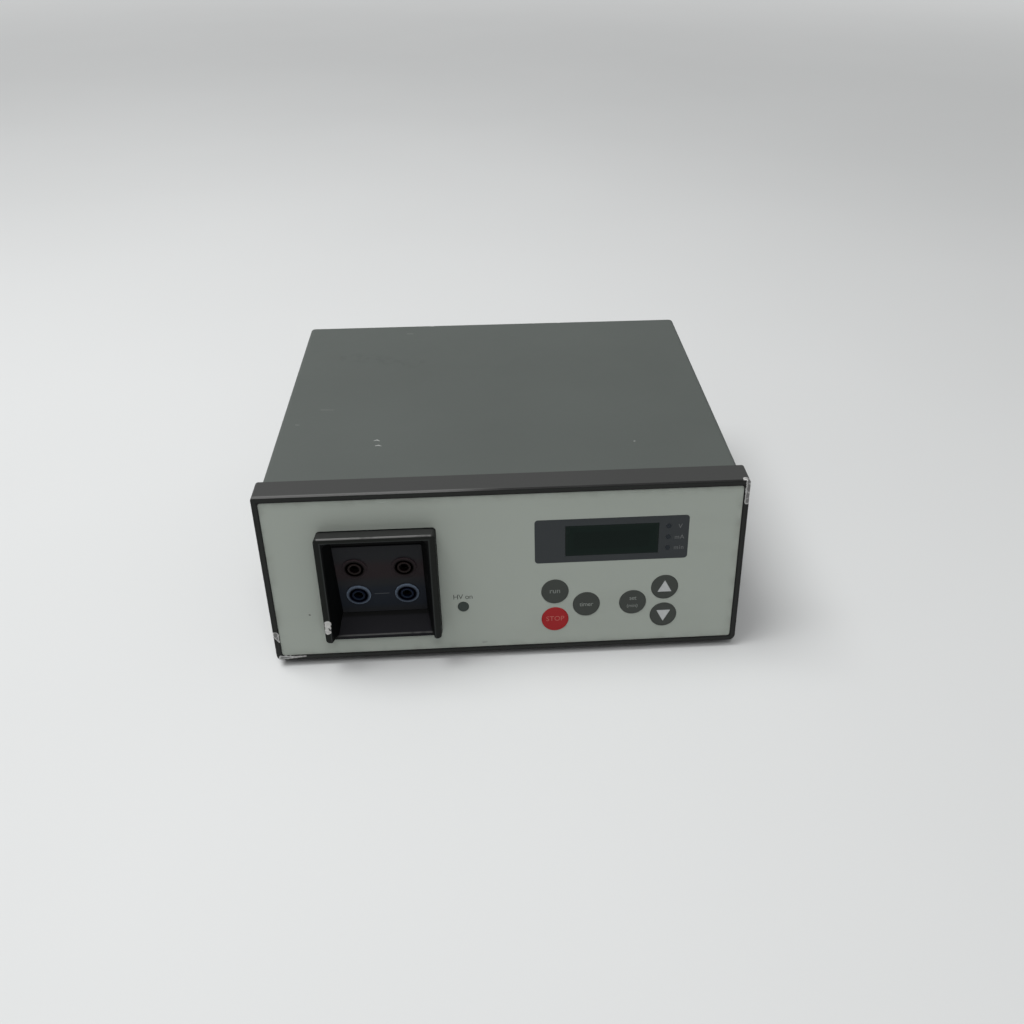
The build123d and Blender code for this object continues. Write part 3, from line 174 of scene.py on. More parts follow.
class Finish(NodeTree):
    """One material, with the nodes that make its colour, roughness and relief."""

    def __init__(self, name, gloss=0.25):
        self.material = bpy.data.materials.new(name)
        self.material.use_nodes = True
        super().__init__(self.material.node_tree)
        self.tree.nodes.clear()
        self.shader = self.node("ShaderNodeBsdfPrincipled", {}, {"Specular IOR Level": gloss})
        self.node("ShaderNodeOutputMaterial", {}, {"Surface": self.shader.outputs[0]})
        self.place = self.node("ShaderNodeTexCoord").outputs["Object"]
        parts = self.node("ShaderNodeSeparateXYZ", {}, {0: self.place}).outputs
        self.x = Level(self, parts[0])
        self.y = Level(self, parts[1])
        self.z = Level(self, parts[2])

    def noise(self, scale, detail, stretch=(1.0, 1.0, 1.0)):
        """Smooth noise of a scale per metre, from 0 to 1, stretched along an axis if asked."""
        settings = {"vector_type": "POINT"}
        spot = self.node("ShaderNodeMapping", settings, {0: self.place, 3: stretch}).outputs[0]
        made = self.node("ShaderNodeTexNoise", {}, {"Vector": spot, "Scale": scale, "Detail": detail})
        return Level(self, made.outputs[0])

    def cells(self, scale, feature="F1"):
        """Distance to scattered points, or to the edges between their cells, for specks and tracks."""
        values = {"Vector": self.place, "Scale": scale}
        made = self.node("ShaderNodeTexVoronoi", {"feature": feature}, values)
        return Level(self, made.outputs[0])

    def between(self, value, low, high):
        """0 below low, 1 above high, eased between; low may be the larger one."""
        values = {"Value": value, "From Min": low, "From Max": high, "To Min": 0.0, "To Max": 1.0}
        settings = {"interpolation_type": "SMOOTHSTEP"}
        return Level(self, self.node("ShaderNodeMapRange", settings, values).outputs[0])

    def mix(self, share, first, second):
        """Two colours mixed by a share."""
        values = {0: share, 6: self.colour(first), 7: self.colour(second)}
        return self.node("ShaderNodeMix", {"data_type": "RGBA"}, values).outputs[2]

    def colour(self, value):
        """A written colour gets its alpha; a linked one passes through."""
        if isinstance(value, tuple) and len(value) == 3:
            return (*value, 1.0)
        return value

    def bump(self, height, distance, strength, under=None):
        """Relief from a height of 0 to 1, over a distance in metres, on top of another relief if given."""
        values = {"Height": height, "Distance": distance, "Strength": strength}
        if under is not None:
            values["Normal"] = under
        return self.node("ShaderNodeBump", {}, values).outputs[0]

    def wear(self, **sockets):
        """Set or link the shader's sockets, and give the finished material."""
        for name, value in sockets.items():
            self.feed(self.shader.inputs[name.replace("_", " ").title()], self.colour(value))
        return self.material

    def across(self):
        """Place to the right of the case's middle, in millimetres."""
        return self.x / mm

    def back(self):
        """Place behind the bezel's lower front edge, in millimetres."""
        return (self.y - case_front) / mm

    def height(self):
        """Height above the bezel's lower front edge, in millimetres."""
        return (self.z - case_low) / mm

    def panel_height(self):
        """Height up the leaning panel, in millimetres."""
        return self.back() * math.sin(lean) + self.height() * math.cos(lean)

    def panel_depth(self):
        """Depth into the case from the panel's front plane, in millimetres."""
        return self.back() * math.cos(lean) - self.height() * math.sin(lean)

    def panel_field(self, edges, corner):
        """Distance outside a rounded field on the panel, in millimetres, negative within it."""
        left, right, low, high = edges
        across = abs(self.across() - (left + right) / 2) - ((right - left) / 2 - corner)
        up = abs(self.panel_height() - (low + high) / 2) - ((high - low) / 2 - corner)
        outside = (across.most(0.0) ** 2.0 + up.most(0.0) ** 2.0) ** 0.5
        return outside + across.most(up).least(0.0) - corner

    def stroke(self, across, along, start, end, wide, narrow):
        """Distance outside a stroke from start to end that goes from a wide to a narrow half width."""
        run = end[0] - start[0]
        rise = end[1] - start[1]
        square = run * run + rise * rise
        share = (across - start[0]) * (run / square) + (along - start[1]) * (rise / square)
        share = share.most(0.0).least(1.0)
        off_across = across - start[0] - share * run
        off_along = along - start[1] - share * rise
        away = (off_across * off_across + off_along * off_along) ** 0.5
        return away - wide + share * (wide - narrow)

    def nearest_stroke(self, across, along, strokes):
        """Distance outside the nearest of several strokes, each its start, end and two half widths."""
        nearest = self.stroke(across, along, *strokes[0])
        for stroke in strokes[1:]:
            nearest = nearest.least(self.stroke(across, along, *stroke))
        return nearest


def shade(colour, share):
    """A colour made darker or lighter by a share, up to white."""
    return tuple(min(part * share, 1.0) for part in colour)


def textured_paint(name, colour, marks):
    """Powder-like paint over metal: orange peel, faint clouds, and what marks() adds to its colour."""
    finish = Finish(name)
    cloud = finish.noise(14.0, 4.0)
    grain = finish.noise(2600.0, 2.0)
    peel = finish.noise(900.0, 2.0)
    speck = finish.between(finish.cells(420.0), 0.14, 0.05) * finish.between(cloud, 0.45, 0.7)
    body = finish.mix(cloud * 0.6 + grain * 0.4, shade(colour, 0.86), shade(colour, 1.16))
    body = finish.mix(speck * 0.25, body, shade(colour, 1.5))
    dull = finish.between(finish.noise(40.0, 5.0), 0.3, 0.75) * 0.1 + 0.5
    relief = finish.bump(peel * 0.7 + grain * 0.3, 0.00006, 0.5)
    body, bare = marks(finish, body)
    return finish.wear(
        base_color=body,
        roughness=dull - bare * 0.12,
        metallic=bare * 0.25,
        normal=finish.bump(1.0 - bare, 0.0002, 0.6, relief),
    )


def bezel_marks(finish, body):
    """Painted shade that makes the front rim near-black with a less dark painted highlight line along its
    middle, a painted highlight along the front edge of the top face, and chips down to the metal.
    """
    across = finish.across()
    up = finish.panel_height()
    depth = finish.panel_depth()
    inward = (half_case - abs(across)).least(up).least(panel_top - up)
    # Painted shade: the rim's front face is darkened to near-black, with a less dark painted highlight line
    # along its middle.
    front = finish.between(depth, 0.9, 0.4)
    middle = finish.between(inward, 0.5, 1.2) * finish.between(inward, 2.7, 2.2)
    rim = finish.mix(middle, (0.0045, 0.0048, 0.0045), (0.0140, 0.0155, 0.0140))
    body = finish.mix(front, body, rim)
    # Painted highlight along the front edge of the top face, fading out towards the right where the light
    # falls off.
    edge = finish.between(up, panel_top - 0.6, panel_top - 0.35) * finish.between(depth, 1.5, 1.1)
    edge = edge * finish.between(across, 5.0, -35.0)
    body = finish.mix(edge * 0.7, body, (0.13, 0.13, 0.128))
    chips = (
        ((119.3, 93.0), (119.0, 80.8), 1.5, 1.4),
        ((116.6, 92.5), (119.6, 92.7), 0.35, 1.0),
        ((-118.7, 15.9), (-117.3, 11.7), 1.7, 0.3),
        ((-117.7, 1.9), (-105.0, 2.4), 1.2, 0.15),
    )
    ragged = (finish.noise(650.0, 4.0) - 0.5) * 1.5
    near = finish.nearest_stroke(across, up, chips) + ragged
    bare = finish.between(near, 0.14, -0.14) * finish.between(depth, 2.6, 1.9)
    bright = finish.between(near, -0.85, -0.2).most(finish.between(finish.noise(420.0, 4.0), 0.5, 0.62))
    metal = finish.mix(bright, (0.17, 0.17, 0.168), (0.50, 0.50, 0.49))
    return finish.mix(bare, body, metal), bare


def cover_marks(finish, body):
    """Short pale scuffs, a faint broad rub, and paint worn along the rear edge and the long bends."""
    across = finish.across()
    back = finish.back()
    height = finish.height()
    top = finish.between(height, cover_top - 0.8, cover_top - 0.4)
    rub = finish.stroke(across, back, (-92.0, 166.0), (-46.0, 154.0), 6.0, 6.0)
    dull = finish.between(rub, 2.0, -5.0) * finish.between(finish.noise(220.0, 5.0), 0.45, 0.6) * top
    body = finish.mix(dull * 0.16, body, (0.030, 0.034, 0.031))
    hairlines = (
        ((-97.8, 103.3), (-90.7, 102.8), 0.25, 0.15),
        ((-109.3, 88.3), (-107.3, 88.1), 0.3, 0.2),
        ((-55.2, 195.3), (-51.8, 195.1), 0.35, 0.2),
    )
    scuffs = (
        ((-66.1, 70.0), (-64.6, 70.6), 0.2, 0.4),
        ((-64.6, 70.6), (-63.1, 69.6), 0.4, 0.15),
        ((-65.0, 65.0), (-63.5, 65.5), 0.2, 0.4),
        ((-63.5, 65.5), (-61.9, 64.7), 0.4, 0.15),
        ((69.2, 61.2), (69.7, 61.3), 0.3, 0.3),
    )
    ragged = (finish.noise(1200.0, 3.0) - 0.5) * 0.5
    faint = finish.between(finish.nearest_stroke(across, back, hairlines) + ragged, 0.1, -0.1)
    strong = finish.between(finish.nearest_stroke(across, back, scuffs) + ragged, 0.1, -0.1)
    pale = strong.most(faint * 0.3) * top
    body = finish.mix(pale * 0.75, body, (0.34, 0.35, 0.34))
    bend = finish.between(abs(across), cover_side - 0.6, cover_side - 0.1)
    bend = bend * finish.between(height, cover_top - 2.1, cover_top - 1.1)
    edge = finish.between(back, case_length - 0.6, case_length - 0.1).most(bend)
    bare = edge * finish.between(finish.noise(160.0, 6.0), 0.62, 0.70)
    return finish.mix(bare, body, (0.46, 0.46, 0.45)), bare


def panel_film():
    """Pale satin film with the grey display field printed on it, a little grimy at its rim."""
    finish = Finish("panel_film")
    across = finish.across()
    up = finish.panel_height()
    cloud = finish.noise(18.0, 5.0)
    grain = finish.noise(3200.0, 2.0)
    rim = finish.panel_field(film_edges, 1.5)
    grime = finish.between(rim, -5.0, 0.0) * finish.between(finish.noise(120.0, 6.0), 0.35, 0.75)
    smear = finish.between(finish.noise(30.0, 6.0, (0.3, 1.0, 1.0)), 0.58, 0.72)
    body = finish.mix(cloud * 0.7 + grain * 0.3, (0.368, 0.404, 0.362), (0.408, 0.444, 0.402))
    body = finish.mix(grime * 0.35 + smear * 0.08, body, (0.22, 0.225, 0.20))
    speck = finish.stroke(across, up, (-100.3, 26.7), (-100.0, 26.6), 0.35, 0.35)
    smudge = finish.stroke(across, up, (-13.2, 5.6), (-11.4, 5.7), 0.5, 0.3)
    dirt = finish.between(speck, 0.2, -0.1) * 0.8 + finish.between(smudge, 0.4, -0.3) * 0.3
    body = finish.mix(dirt, body, (0.08, 0.082, 0.08))
    printed = finish.between(finish.panel_field(display_edges, 1.8), 0.06, -0.06)
    grey = finish.mix(cloud, (0.030, 0.035, 0.038), (0.038, 0.043, 0.046))
    scratch = finish.between(finish.noise(900.0, 2.0, (0.02, 1.0, 1.0)), 0.66, 0.74)
    return finish.wear(
        base_color=finish.mix(printed, body, grey),
        roughness=0.42 + grain * 0.08 - scratch * 0.05 + grime * 0.2,
        normal=finish.bump(grain + printed * 0.5, 0.00003, 0.35),
    )


def key_film(name, colour):
    """Satin key face, a little uneven in tone and gloss from use."""
    finish = Finish(name)
    cloud = finish.noise(90.0, 4.0)
    grain = finish.noise(3000.0, 2.0)
    polished = finish.between(finish.noise(160.0, 4.0), 0.4, 0.7)
    return finish.wear(
        base_color=finish.mix(cloud * 0.7 + grain * 0.3, shade(colour, 0.88), shade(colour, 1.1)),
        roughness=0.48 - polished * 0.12,
        normal=finish.bump(grain, 0.00003, 0.3),
    )


def window_pane():
    """Dark green smoked window, almost black, with faint smears and a paler rim."""
    finish = Finish("window_pane", 0.12)
    smear = finish.noise(60.0, 5.0, (1.0, 1.0, 0.4))
    behind = finish.between(finish.panel_field(digit_edges, 0.6), 0.8, -0.4)
    rim = finish.between(finish.panel_field(window_edges, 0.2), -1.6, -0.2)
    body = finish.mix(behind * 0.5 + smear * 0.3, (0.0045, 0.0120, 0.0092), (0.0030, 0.0080, 0.0062))
    body = finish.mix(rim * 0.5, body, (0.009, 0.016, 0.013))
    return finish.wear(base_color=body, roughness=0.2 + smear * 0.12)


def moulded(name, colour, roughness, relief=0.00005, grain_scale=1800.0):
    """Moulded plastic or rubber with a fine grain and slight unevenness."""
    finish = Finish(name)
    grain = finish.noise(grain_scale, 3.0)
    cloud = finish.noise(45.0, 4.0)
    return finish.wear(
        base_color=finish.mix(cloud * 0.6 + grain * 0.4, shade(colour, 0.9), shade(colour, 1.1)),
        roughness=roughness - 0.06 + cloud * 0.12,
        normal=finish.bump(grain, relief, 0.4),
    )


def bay_plastic():
    """Black grained plastic of the socket bay, with its top painted lighter as light and painted highlights
    along its edges, painted shade inside the bay, and a chip on its left rail.
    """
    finish = Finish("bay_plastic", 0.06)
    grain = finish.noise(2400.0, 3.0)
    cloud = finish.noise(50.0, 4.0)
    across = finish.across()
    back = finish.back()
    up = finish.panel_height()
    depth = finish.panel_depth()
    from_middle = abs(across - hood_middle)
    within = from_middle - (hood_half_width - hood_rail)
    opening = within.most(up - (hood_top - hood_bar))
    body = finish.mix(cloud * 0.5 + grain * 0.5, (0.0135, 0.015, 0.0135), (0.0185, 0.020, 0.0185))
    # Painted light: the upward top face of the hood is painted lighter than its front faces.
    body = finish.mix(finish.between(up, hood_top - 0.7, hood_top - 0.2), body, (0.024, 0.025, 0.024))
    # Painted shade: the inside of the opening above the floor lip, and all that lies behind the flange's
    # front plane, are darkened to near-black.
    inside = finish.between(opening, 0.3, -0.1) * finish.between(up, floor_lip - 0.6, floor_lip - 0.2)
    inside = inside.most(finish.between(depth, -0.9, -0.6))
    body = finish.mix(inside, body, (0.0024, 0.0027, 0.0028))
    # The bay floor gets back a dark grey tone, while its back strip under the socket plate and its strips
    # along the side walls stay in the painted shade.
    floor_slope = 0.6696
    floor_back = 2.112
    floor_height = 14.08
    above_floor = finish.height() - floor_height - (back - floor_back) * floor_slope
    floor = finish.between(above_floor, 0.6, 0.2) * finish.between(depth, -1.3, -0.9)
    floor = floor * finish.between(back, 11.0, 9.6) * finish.between(within, -1.0, -3.5)
    body = finish.mix(floor, body, (0.0105, 0.0105, 0.0130))
    # Painted highlights: a light line along the front edge of the floor lip and one along the top front edge
    # of the hood bar.
    lip = finish.between(abs(up - floor_lip).most(depth + 1.0), 0.5, 0.25)
    lip = lip * finish.between(within, -0.4, -1.2)
    bar = finish.between(up, hood_top - 0.75, hood_top - 0.5) * finish.between(depth, -7.05, -7.3)
    bar = bar * finish.between(from_middle, hood_half_width - 1.4, hood_half_width - 2.2)
    painted_highlight = bar.most(lip * 0.6) * finish.between(finish.noise(110.0, 4.0), 0.25, 0.5)
    body = finish.mix(painted_highlight * 0.7, body, (0.18, 0.18, 0.176))
    # Painted highlight along the inner edge of the hood's opening.
    inner = finish.between(opening, 0.75, 0.45) * finish.between(opening, -0.1, 0.1)
    body = finish.mix(inner * finish.between(depth, -7.0, -7.4) * 0.7, body, (0.038, 0.042, 0.041))
    ragged = (finish.noise(900.0, 4.0) - 0.5) * 1.2
    chip = finish.stroke(across, up, (-89.9, 26.2), (-90.2, 21.4), 1.55, 1.5) + ragged
    bare = finish.between(chip, 0.12, -0.12) * finish.between(depth, -6.4, -6.9)
    pit = finish.between(finish.stroke(across, up, (-89.6, 23.4), (-89.1, 22.3), 0.25, 0.4), 0.15, -0.1)
    silver = finish.mix(finish.noise(600.0, 3.0), (0.30, 0.30, 0.29), (0.80, 0.80, 0.78))
    silver = finish.mix(pit * 0.9, silver, (0.03, 0.03, 0.03))
    return finish.wear(
        base_color=finish.mix(bare, body, silver),
        roughness=0.48 + grain * 0.1 - bare * 0.1,
        normal=finish.bump(grain - bare, 0.00008, 0.4),
    )


def plate_print():
    """Dark socket plate, tinted red round the upper sockets and blue round the lower ones."""
    finish = Finish("plate_print", 0.10)
    grain = finish.noise(2600.0, 2.0)
    height = finish.height()
    red = finish.between(height, 41.0, 46.0) * finish.between(height, 58.0, 51.0)
    blue = finish.between(height, 41.0, 36.0) * finish.between(height, 22.0, 27.0)
    body = finish.mix(grain, (0.0150, 0.0160, 0.0185), (0.0190, 0.0200, 0.0225))
    body = finish.mix(red * 0.65, body, (0.0250, 0.0140, 0.0155))
    body = finish.mix(blue * 0.65, body, (0.0085, 0.0135, 0.0230))
    dash_across = finish.between(abs(finish.across() + 63.5), 3.9, 3.6)
    dash_up = finish.between(abs(height - 33.4), 0.35, 0.2)
    body = finish.mix(dash_across * dash_up, body, (0.060, 0.066, 0.075))
    return finish.wear(
        base_color=body, roughness=0.45 + grain * 0.1, normal=finish.bump(grain, 0.00003, 0.3)
    )


def socket_plastic(name, row, bore_shade, tip, glint, ring):
    """Socket insulation: a ring on the flange with a painted highlight along its outer edge, painted shade in
    the socket's opening and on its sides, and the contact's tip, its centre a painted highlight on the blue
    sockets and a darker painted shade on the red ones.
    """
    finish = Finish(name, 0.06)
    cloud = finish.noise(160.0, 4.0)
    back = finish.back()
    across = abs(finish.across() - hood_middle) - socket_spacing / 2
    up = finish.height() - row
    away = (across * across + up * up) ** 0.5
    flange = finish.between(back, 12.2, 12.0)
    # Painted shade: the opening and the sides are near-black, and the flange face outside it keeps the ring
    # colour.
    body = finish.mix(finish.between(away, 4.5, 5.5) * flange, bore_shade, ring)
    # Painted highlight: a lighter line along the flange's outer edge.
    body = finish.mix(finish.between(away, 5.7, 5.95) * flange, body, shade(ring, 1.8))
    # The contact's end: its centre is a painted highlight on the blue sockets and a darker painted shade on
    # the red ones.
    end = finish.between(away, 3.5, 3.35) * finish.between(back, 12.0, 11.6)
    body = finish.mix(end, body, finish.mix(finish.between(away, 2.9, 2.6), tip, glint))
    return finish.wear(
        base_color=finish.mix(cloud * 0.25, body, (0.0, 0.0, 0.0)), roughness=0.36 + cloud * 0.08
    )


def brushed(name, colour, roughness, along=(1.0, 1.0, 1.0), scale=700.0, spots=0.0):
    """Bare or plated metal, drawn along one axis, with a little tarnish."""
    finish = Finish(name)
    lines = finish.noise(scale, 3.0, along)
    tarnish = finish.between(finish.noise(70.0, 6.0), 0.45, 0.75)
    return finish.wear(
        base_color=finish.mix(lines * 0.5 + tarnish * (0.25 + spots), colour, shade(colour, 0.72)),
        metallic=1.0,
        roughness=roughness + lines * 0.12 + tarnish * 0.1,
        normal=finish.bump(lines, 0.00002, 0.3),
    )


def circuit_board():
    """Green solder mask with pale copper tracks under it and tinned pads."""
    finish = Finish("circuit_board")
    track = finish.between(finish.cells(160.0, "DISTANCE_TO_EDGE"), 0.10, 0.05)
    pads = finish.between(finish.cells(260.0), 0.16, 0.12)
    body = finish.mix(track, (0.012, 0.075, 0.030), (0.020, 0.12, 0.045))
    return finish.wear(
        base_color=finish.mix(pads, body, (0.42, 0.40, 0.33)),
        roughness=0.34 - pads * 0.1,
        normal=finish.bump(track + pads, 0.00004, 0.5),
    )


def ribbon():
    """Flat grey cable, ribbed along its wires, with painted shade in the grooves between them and lighter
    crests, one wire marked red.
    """
    finish = Finish("ribbon_cable")
    from_edge = finish.across() - ribbon_edge
    wire = abs((from_edge / wire_pitch).fraction() - 0.5)
    ridge_and_shade = finish.between(wire, 0.5, 0.1)
    mark = finish.between(from_edge, 1.4, 1.2)
    # Painted shade: the grooves between the wires are darker and the crests lighter.
    body = finish.mix(ridge_and_shade, (0.22, 0.22, 0.22), (0.38, 0.38, 0.38))
    return finish.wear(
        base_color=finish.mix(mark, body, (0.45, 0.03, 0.03)),
        roughness=0.5 + ridge_and_shade * 0.1,
        normal=finish.bump(ridge_and_shade, 0.0003, 0.8),
    )


def fuse_glass():
    """Fuses: clear glass between bright end caps."""
    finish = Finish("fuse_glass")
    low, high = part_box("fuses")
    seam = 0.2
    outer = finish.between(finish.y, high.y - fuse_cap * mm, high.y - (fuse_cap - seam) * mm)
    inner = finish.between(finish.y, low.y + fuse_cap * mm, low.y + (fuse_cap - seam) * mm)
    cap = outer.most(inner)
    grain = finish.noise(800.0, 3.0)
    return finish.wear(
        base_color=finish.mix(cap, (0.62, 0.66, 0.64), (0.72, 0.70, 0.66)),
        metallic=cap,
        roughness=0.1 + cap * 0.18 + grain * 0.05,
        alpha=0.45 + cap * 0.55,
    )


def ink(name, colour):
    """Printed ink, slightly uneven."""
    finish = Finish(name)
    cloud = finish.noise(600.0, 3.0)
    return finish.wear(
        base_color=finish.mix(cloud, shade(colour, 0.82), colour), roughness=0.45 + cloud * 0.1
    )


def tape():
    """Amber winding tape in overlapping turns."""
    finish = Finish("winding_tape")
    step = (finish.z / mm / tape_width).fraction()
    crinkle = finish.noise(300.0, 4.0)
    return finish.wear(
        base_color=finish.mix(step * 0.6 + crinkle * 0.4, (0.50, 0.33, 0.05), (0.68, 0.48, 0.10)),
        roughness=0.28 + crinkle * 0.15,
        normal=finish.bump(step + crinkle, 0.0001, 0.6),
    )


def sleeve():
    """Blue shrink sleeve of the capacitors with a pale polarity stripe and a bare top."""
    finish = Finish("can_sleeve")
    cloud = finish.noise(120.0, 3.0)
    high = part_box("bulk_capacitors")[1]
    stripe = finish.between(finish.x, high.x - stripe_width * mm, high.x - (stripe_width - 0.4) * mm)
    top = finish.between(finish.z, high.z - 0.6 * mm, high.z - 0.3 * mm)
    body = finish.mix(cloud, (0.015, 0.03, 0.10), (0.025, 0.045, 0.13))
    body = finish.mix(stripe, body, (0.42, 0.44, 0.46))
    return finish.wear(
        base_color=finish.mix(top, body, (0.55, 0.55, 0.55)), roughness=0.25 + cloud * 0.1, metallic=top * 0.9
    )


finishes = {
    "cover": textured_paint("cover_paint", (0.070, 0.079, 0.0735), cover_marks),
    "bezel": textured_paint("bezel_paint", (0.036, 0.037, 0.036), bezel_marks),
    "film": panel_film(),
    "key_grey": key_film("key_grey", (0.048, 0.054, 0.048)),
    "key_red": key_film("key_red", (0.34, 0.010, 0.013)),
    "window": window_pane(),
    "display": moulded("display_block", (0.02, 0.02, 0.02), 0.4),
    "lamp": moulded("lamp_lens", (0.035, 0.048, 0.042), 0.22, 0.00001),
    "unit_lamp": moulded("unit_lamp_lens", (0.012, 0.018, 0.024), 0.2, 0.00001),
    "bay": bay_plastic(),
    "plate": plate_print(),
    "socket_red": socket_plastic(
        "socket_red", upper_sockets, (0.004, 0.002, 0.002), (0.022, 0.015, 0.014), (0.014, 0.009, 0.009),
        (0.024, 0.017, 0.019),
    ),
    "socket_blue": socket_plastic(
        "socket_blue", lower_sockets, (0.002, 0.003, 0.011), (0.003, 0.006, 0.020), (0.012, 0.022, 0.042),
        (0.090, 0.115, 0.155),
    ),
    "contact": brushed("contact_metal", (0.045, 0.040, 0.036), 0.4, (1.0, 0.1, 1.0)),
    "brass": brushed("brass", (0.62, 0.45, 0.20), 0.3),
    "zinc": brushed("zinc_sheet", (0.55, 0.55, 0.53), 0.38, (1.0, 0.05, 1.0), 500.0, 0.1),
    "aluminium": brushed("aluminium", (0.70, 0.70, 0.71), 0.35, (0.04, 1.0, 1.0)),
    "screw": brushed("screw_steel", (0.52, 0.52, 0.50), 0.3),
    "dark_screw": brushed("dark_screw", (0.06, 0.06, 0.06), 0.42),
    "board": circuit_board(),
    "ferrite": moulded("ferrite", (0.045, 0.046, 0.05), 0.6, 0.0001, 1200.0),
    "tape": tape(),
    "chip": moulded("chip_case", (0.018, 0.018, 0.018), 0.42),
    "can": sleeve(),
    "lead": moulded("lead_insulation", (0.42, 0.02, 0.02), 0.4, 0.00002),
    "mains_lead": moulded("mains_insulation", (0.05, 0.09, 0.22), 0.4, 0.00002),
    "ribbon": ribbon(),
    "inlet": moulded("inlet_plastic", (0.022, 0.022, 0.022), 0.38, 0.00003),
    "fuse": fuse_glass(),
    "rocker": moulded("rocker_plastic", (0.018, 0.018, 0.018), 0.24, 0.00001),
    "fan": moulded("fan_plastic", (0.022, 0.022, 0.023), 0.42),
    "wire": brushed("guard_wire", (0.75, 0.75, 0.74), 0.16),
    "foot": moulded("foot_rubber", (0.020, 0.020, 0.020), 0.75, 0.0001, 1500.0),
    "pale_ink": ink("pale_ink", (0.26, 0.28, 0.26)),
    "arrow_ink": ink("arrow_ink", (0.56, 0.58, 0.58)),
    "red_key_ink": ink("red_key_ink", (0.50, 0.13, 0.11)),
    "dark_ink": ink("dark_ink", (0.06, 0.065, 0.06)),
    "unit_ink": ink("unit_ink", (0.15, 0.155, 0.155)),
    "white_ink": ink("white_ink", (0.55, 0.55, 0.53)),
}

wearing = {
    "cover": ["top_cover", "rear_panel"],
    "bezel": ["front_bezel"],
    "film": ["panel_overlay"],
    "key_grey": ["key_run", "key_timer", "key_set", "key_up", "key_down"],
    "key_red": ["key_stop"],
    "window": ["display_filter"],
    "display": ["display_module"],
    "lamp": ["hv_lamp"],
    "unit_lamp": ["unit_lamps"],
    "bay": ["socket_housing"],
    "plate": ["socket_plate"],
    "socket_red": ["socket_red_left", "socket_red_right", "socket_tips_red"],
    "socket_blue": ["socket_blue_left", "socket_blue_right", "socket_tips_blue"],
    "contact": ["contact_sleeves"],
    "brass": ["socket_nuts", "front_board_spacers", "main_board_spacers", "inlet_pins"],
    "zinc": ["base_chassis"],
    "aluminium": ["front_subpanel", "heat_sink"],
    "screw": [
        "housing_screws", "subpanel_screws", "front_board_screws", "main_board_screws", "fan_screws",
        "foot_screws",
    ],
    "dark_screw": ["cover_screws", "bezel_screws", "rear_panel_screws"],
    "board": ["front_board", "main_board"],
    "ferrite": ["transformer_core"],
    "tape": ["transformer_winding"],
    "chip": ["key_switches", "power_transistors"],
    "can": ["bulk_capacitors"],
    "lead": ["output_leads"],
    "mains_lead": ["mains_leads"],
    "ribbon": ["ribbon_cable"],
    "inlet": ["mains_inlet", "fuse_drawer", "switch_housing"],
    "fuse": ["fuses"],
    "rocker": ["mains_rocker"],
    "fan": ["fan_frame", "fan_rotor"],
    "wire": ["finger_guard"],
    "foot": ["rubber_feet"],
}
for finish_name, node_names in wearing.items():
    for node_name in node_names:
        mesh = nodes[node_name].data
        mesh.materials.clear()
        mesh.materials.append(finishes[finish_name])


# Printed marks

ink_depth = 0.00002
capital_share = 0.73


def settle(piece, name, finish_name, body):
    """Name a finished piece, apply its place to its mesh, and fix it to its body."""
    bpy.ops.object.select_all(action="DESELECT")
    piece.select_set(True)
    bpy.context.view_layer.objects.active = piece
    bpy.ops.object.transform_apply(location=True, rotation=True, scale=True)
    piece.name = name
    piece.data.materials.clear()
    piece.data.materials.append(finishes[finish_name])
    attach(piece, body)


def on_panel(across, height, depth):
    """Placement on the panel: local X runs right, local Y up the slope, local Z out of the panel."""
    turn = Matrix.Rotation(math.pi / 2 - lean, 4, "X")
    return Matrix.Translation(panel_point(across, height, depth)) @ turn


def on_key(across, height):
    """Placement on the face of a key."""
    return on_panel(across, height, key_depth)


def on_film(across, height):
    """Placement on the face of the panel film."""
    return on_panel(across, height, film_depth)


def on_rocker(side):
    """Placement on the middle of one half of the rocker's dished face: side is 1 above, -1 below."""
    pivot = Matrix.Translation(upright_point(*rocker_pivot)) @ Matrix.Rotation(rocker_rest, 4, "X")
    seat = Matrix.Translation((0.0, rocker_face_out * mm, side * rocker_face_up * mm))
    tilt = Matrix.Rotation(-side * rocker_dish, 4, "X")
    facing = Matrix.Rotation(math.pi, 4, "Z") @ Matrix.Rotation(math.pi / 2, 4, "X")
    return pivot @ seat @ tilt @ facing


def legend(name, words, size, place, finish_name, body, spacing=1.0):
    """Lettering a hair proud of the face it is printed on, its size the height of a capital."""
    bpy.ops.object.select_all(action="DESELECT")
    bpy.ops.object.text_add()
    piece = bpy.context.object
    piece.data.body = words
    piece.data.size = size * mm / capital_share
    piece.data.space_character = spacing
    piece.data.align_x = "CENTER"
    piece.data.align_y = "CENTER"
    piece.data.extrude = ink_depth
    piece.data.resolution_u = 4
    bpy.ops.object.convert(target="MESH")
    piece = bpy.context.object
    piece.matrix_world = place
    settle(piece, name, finish_name, body)


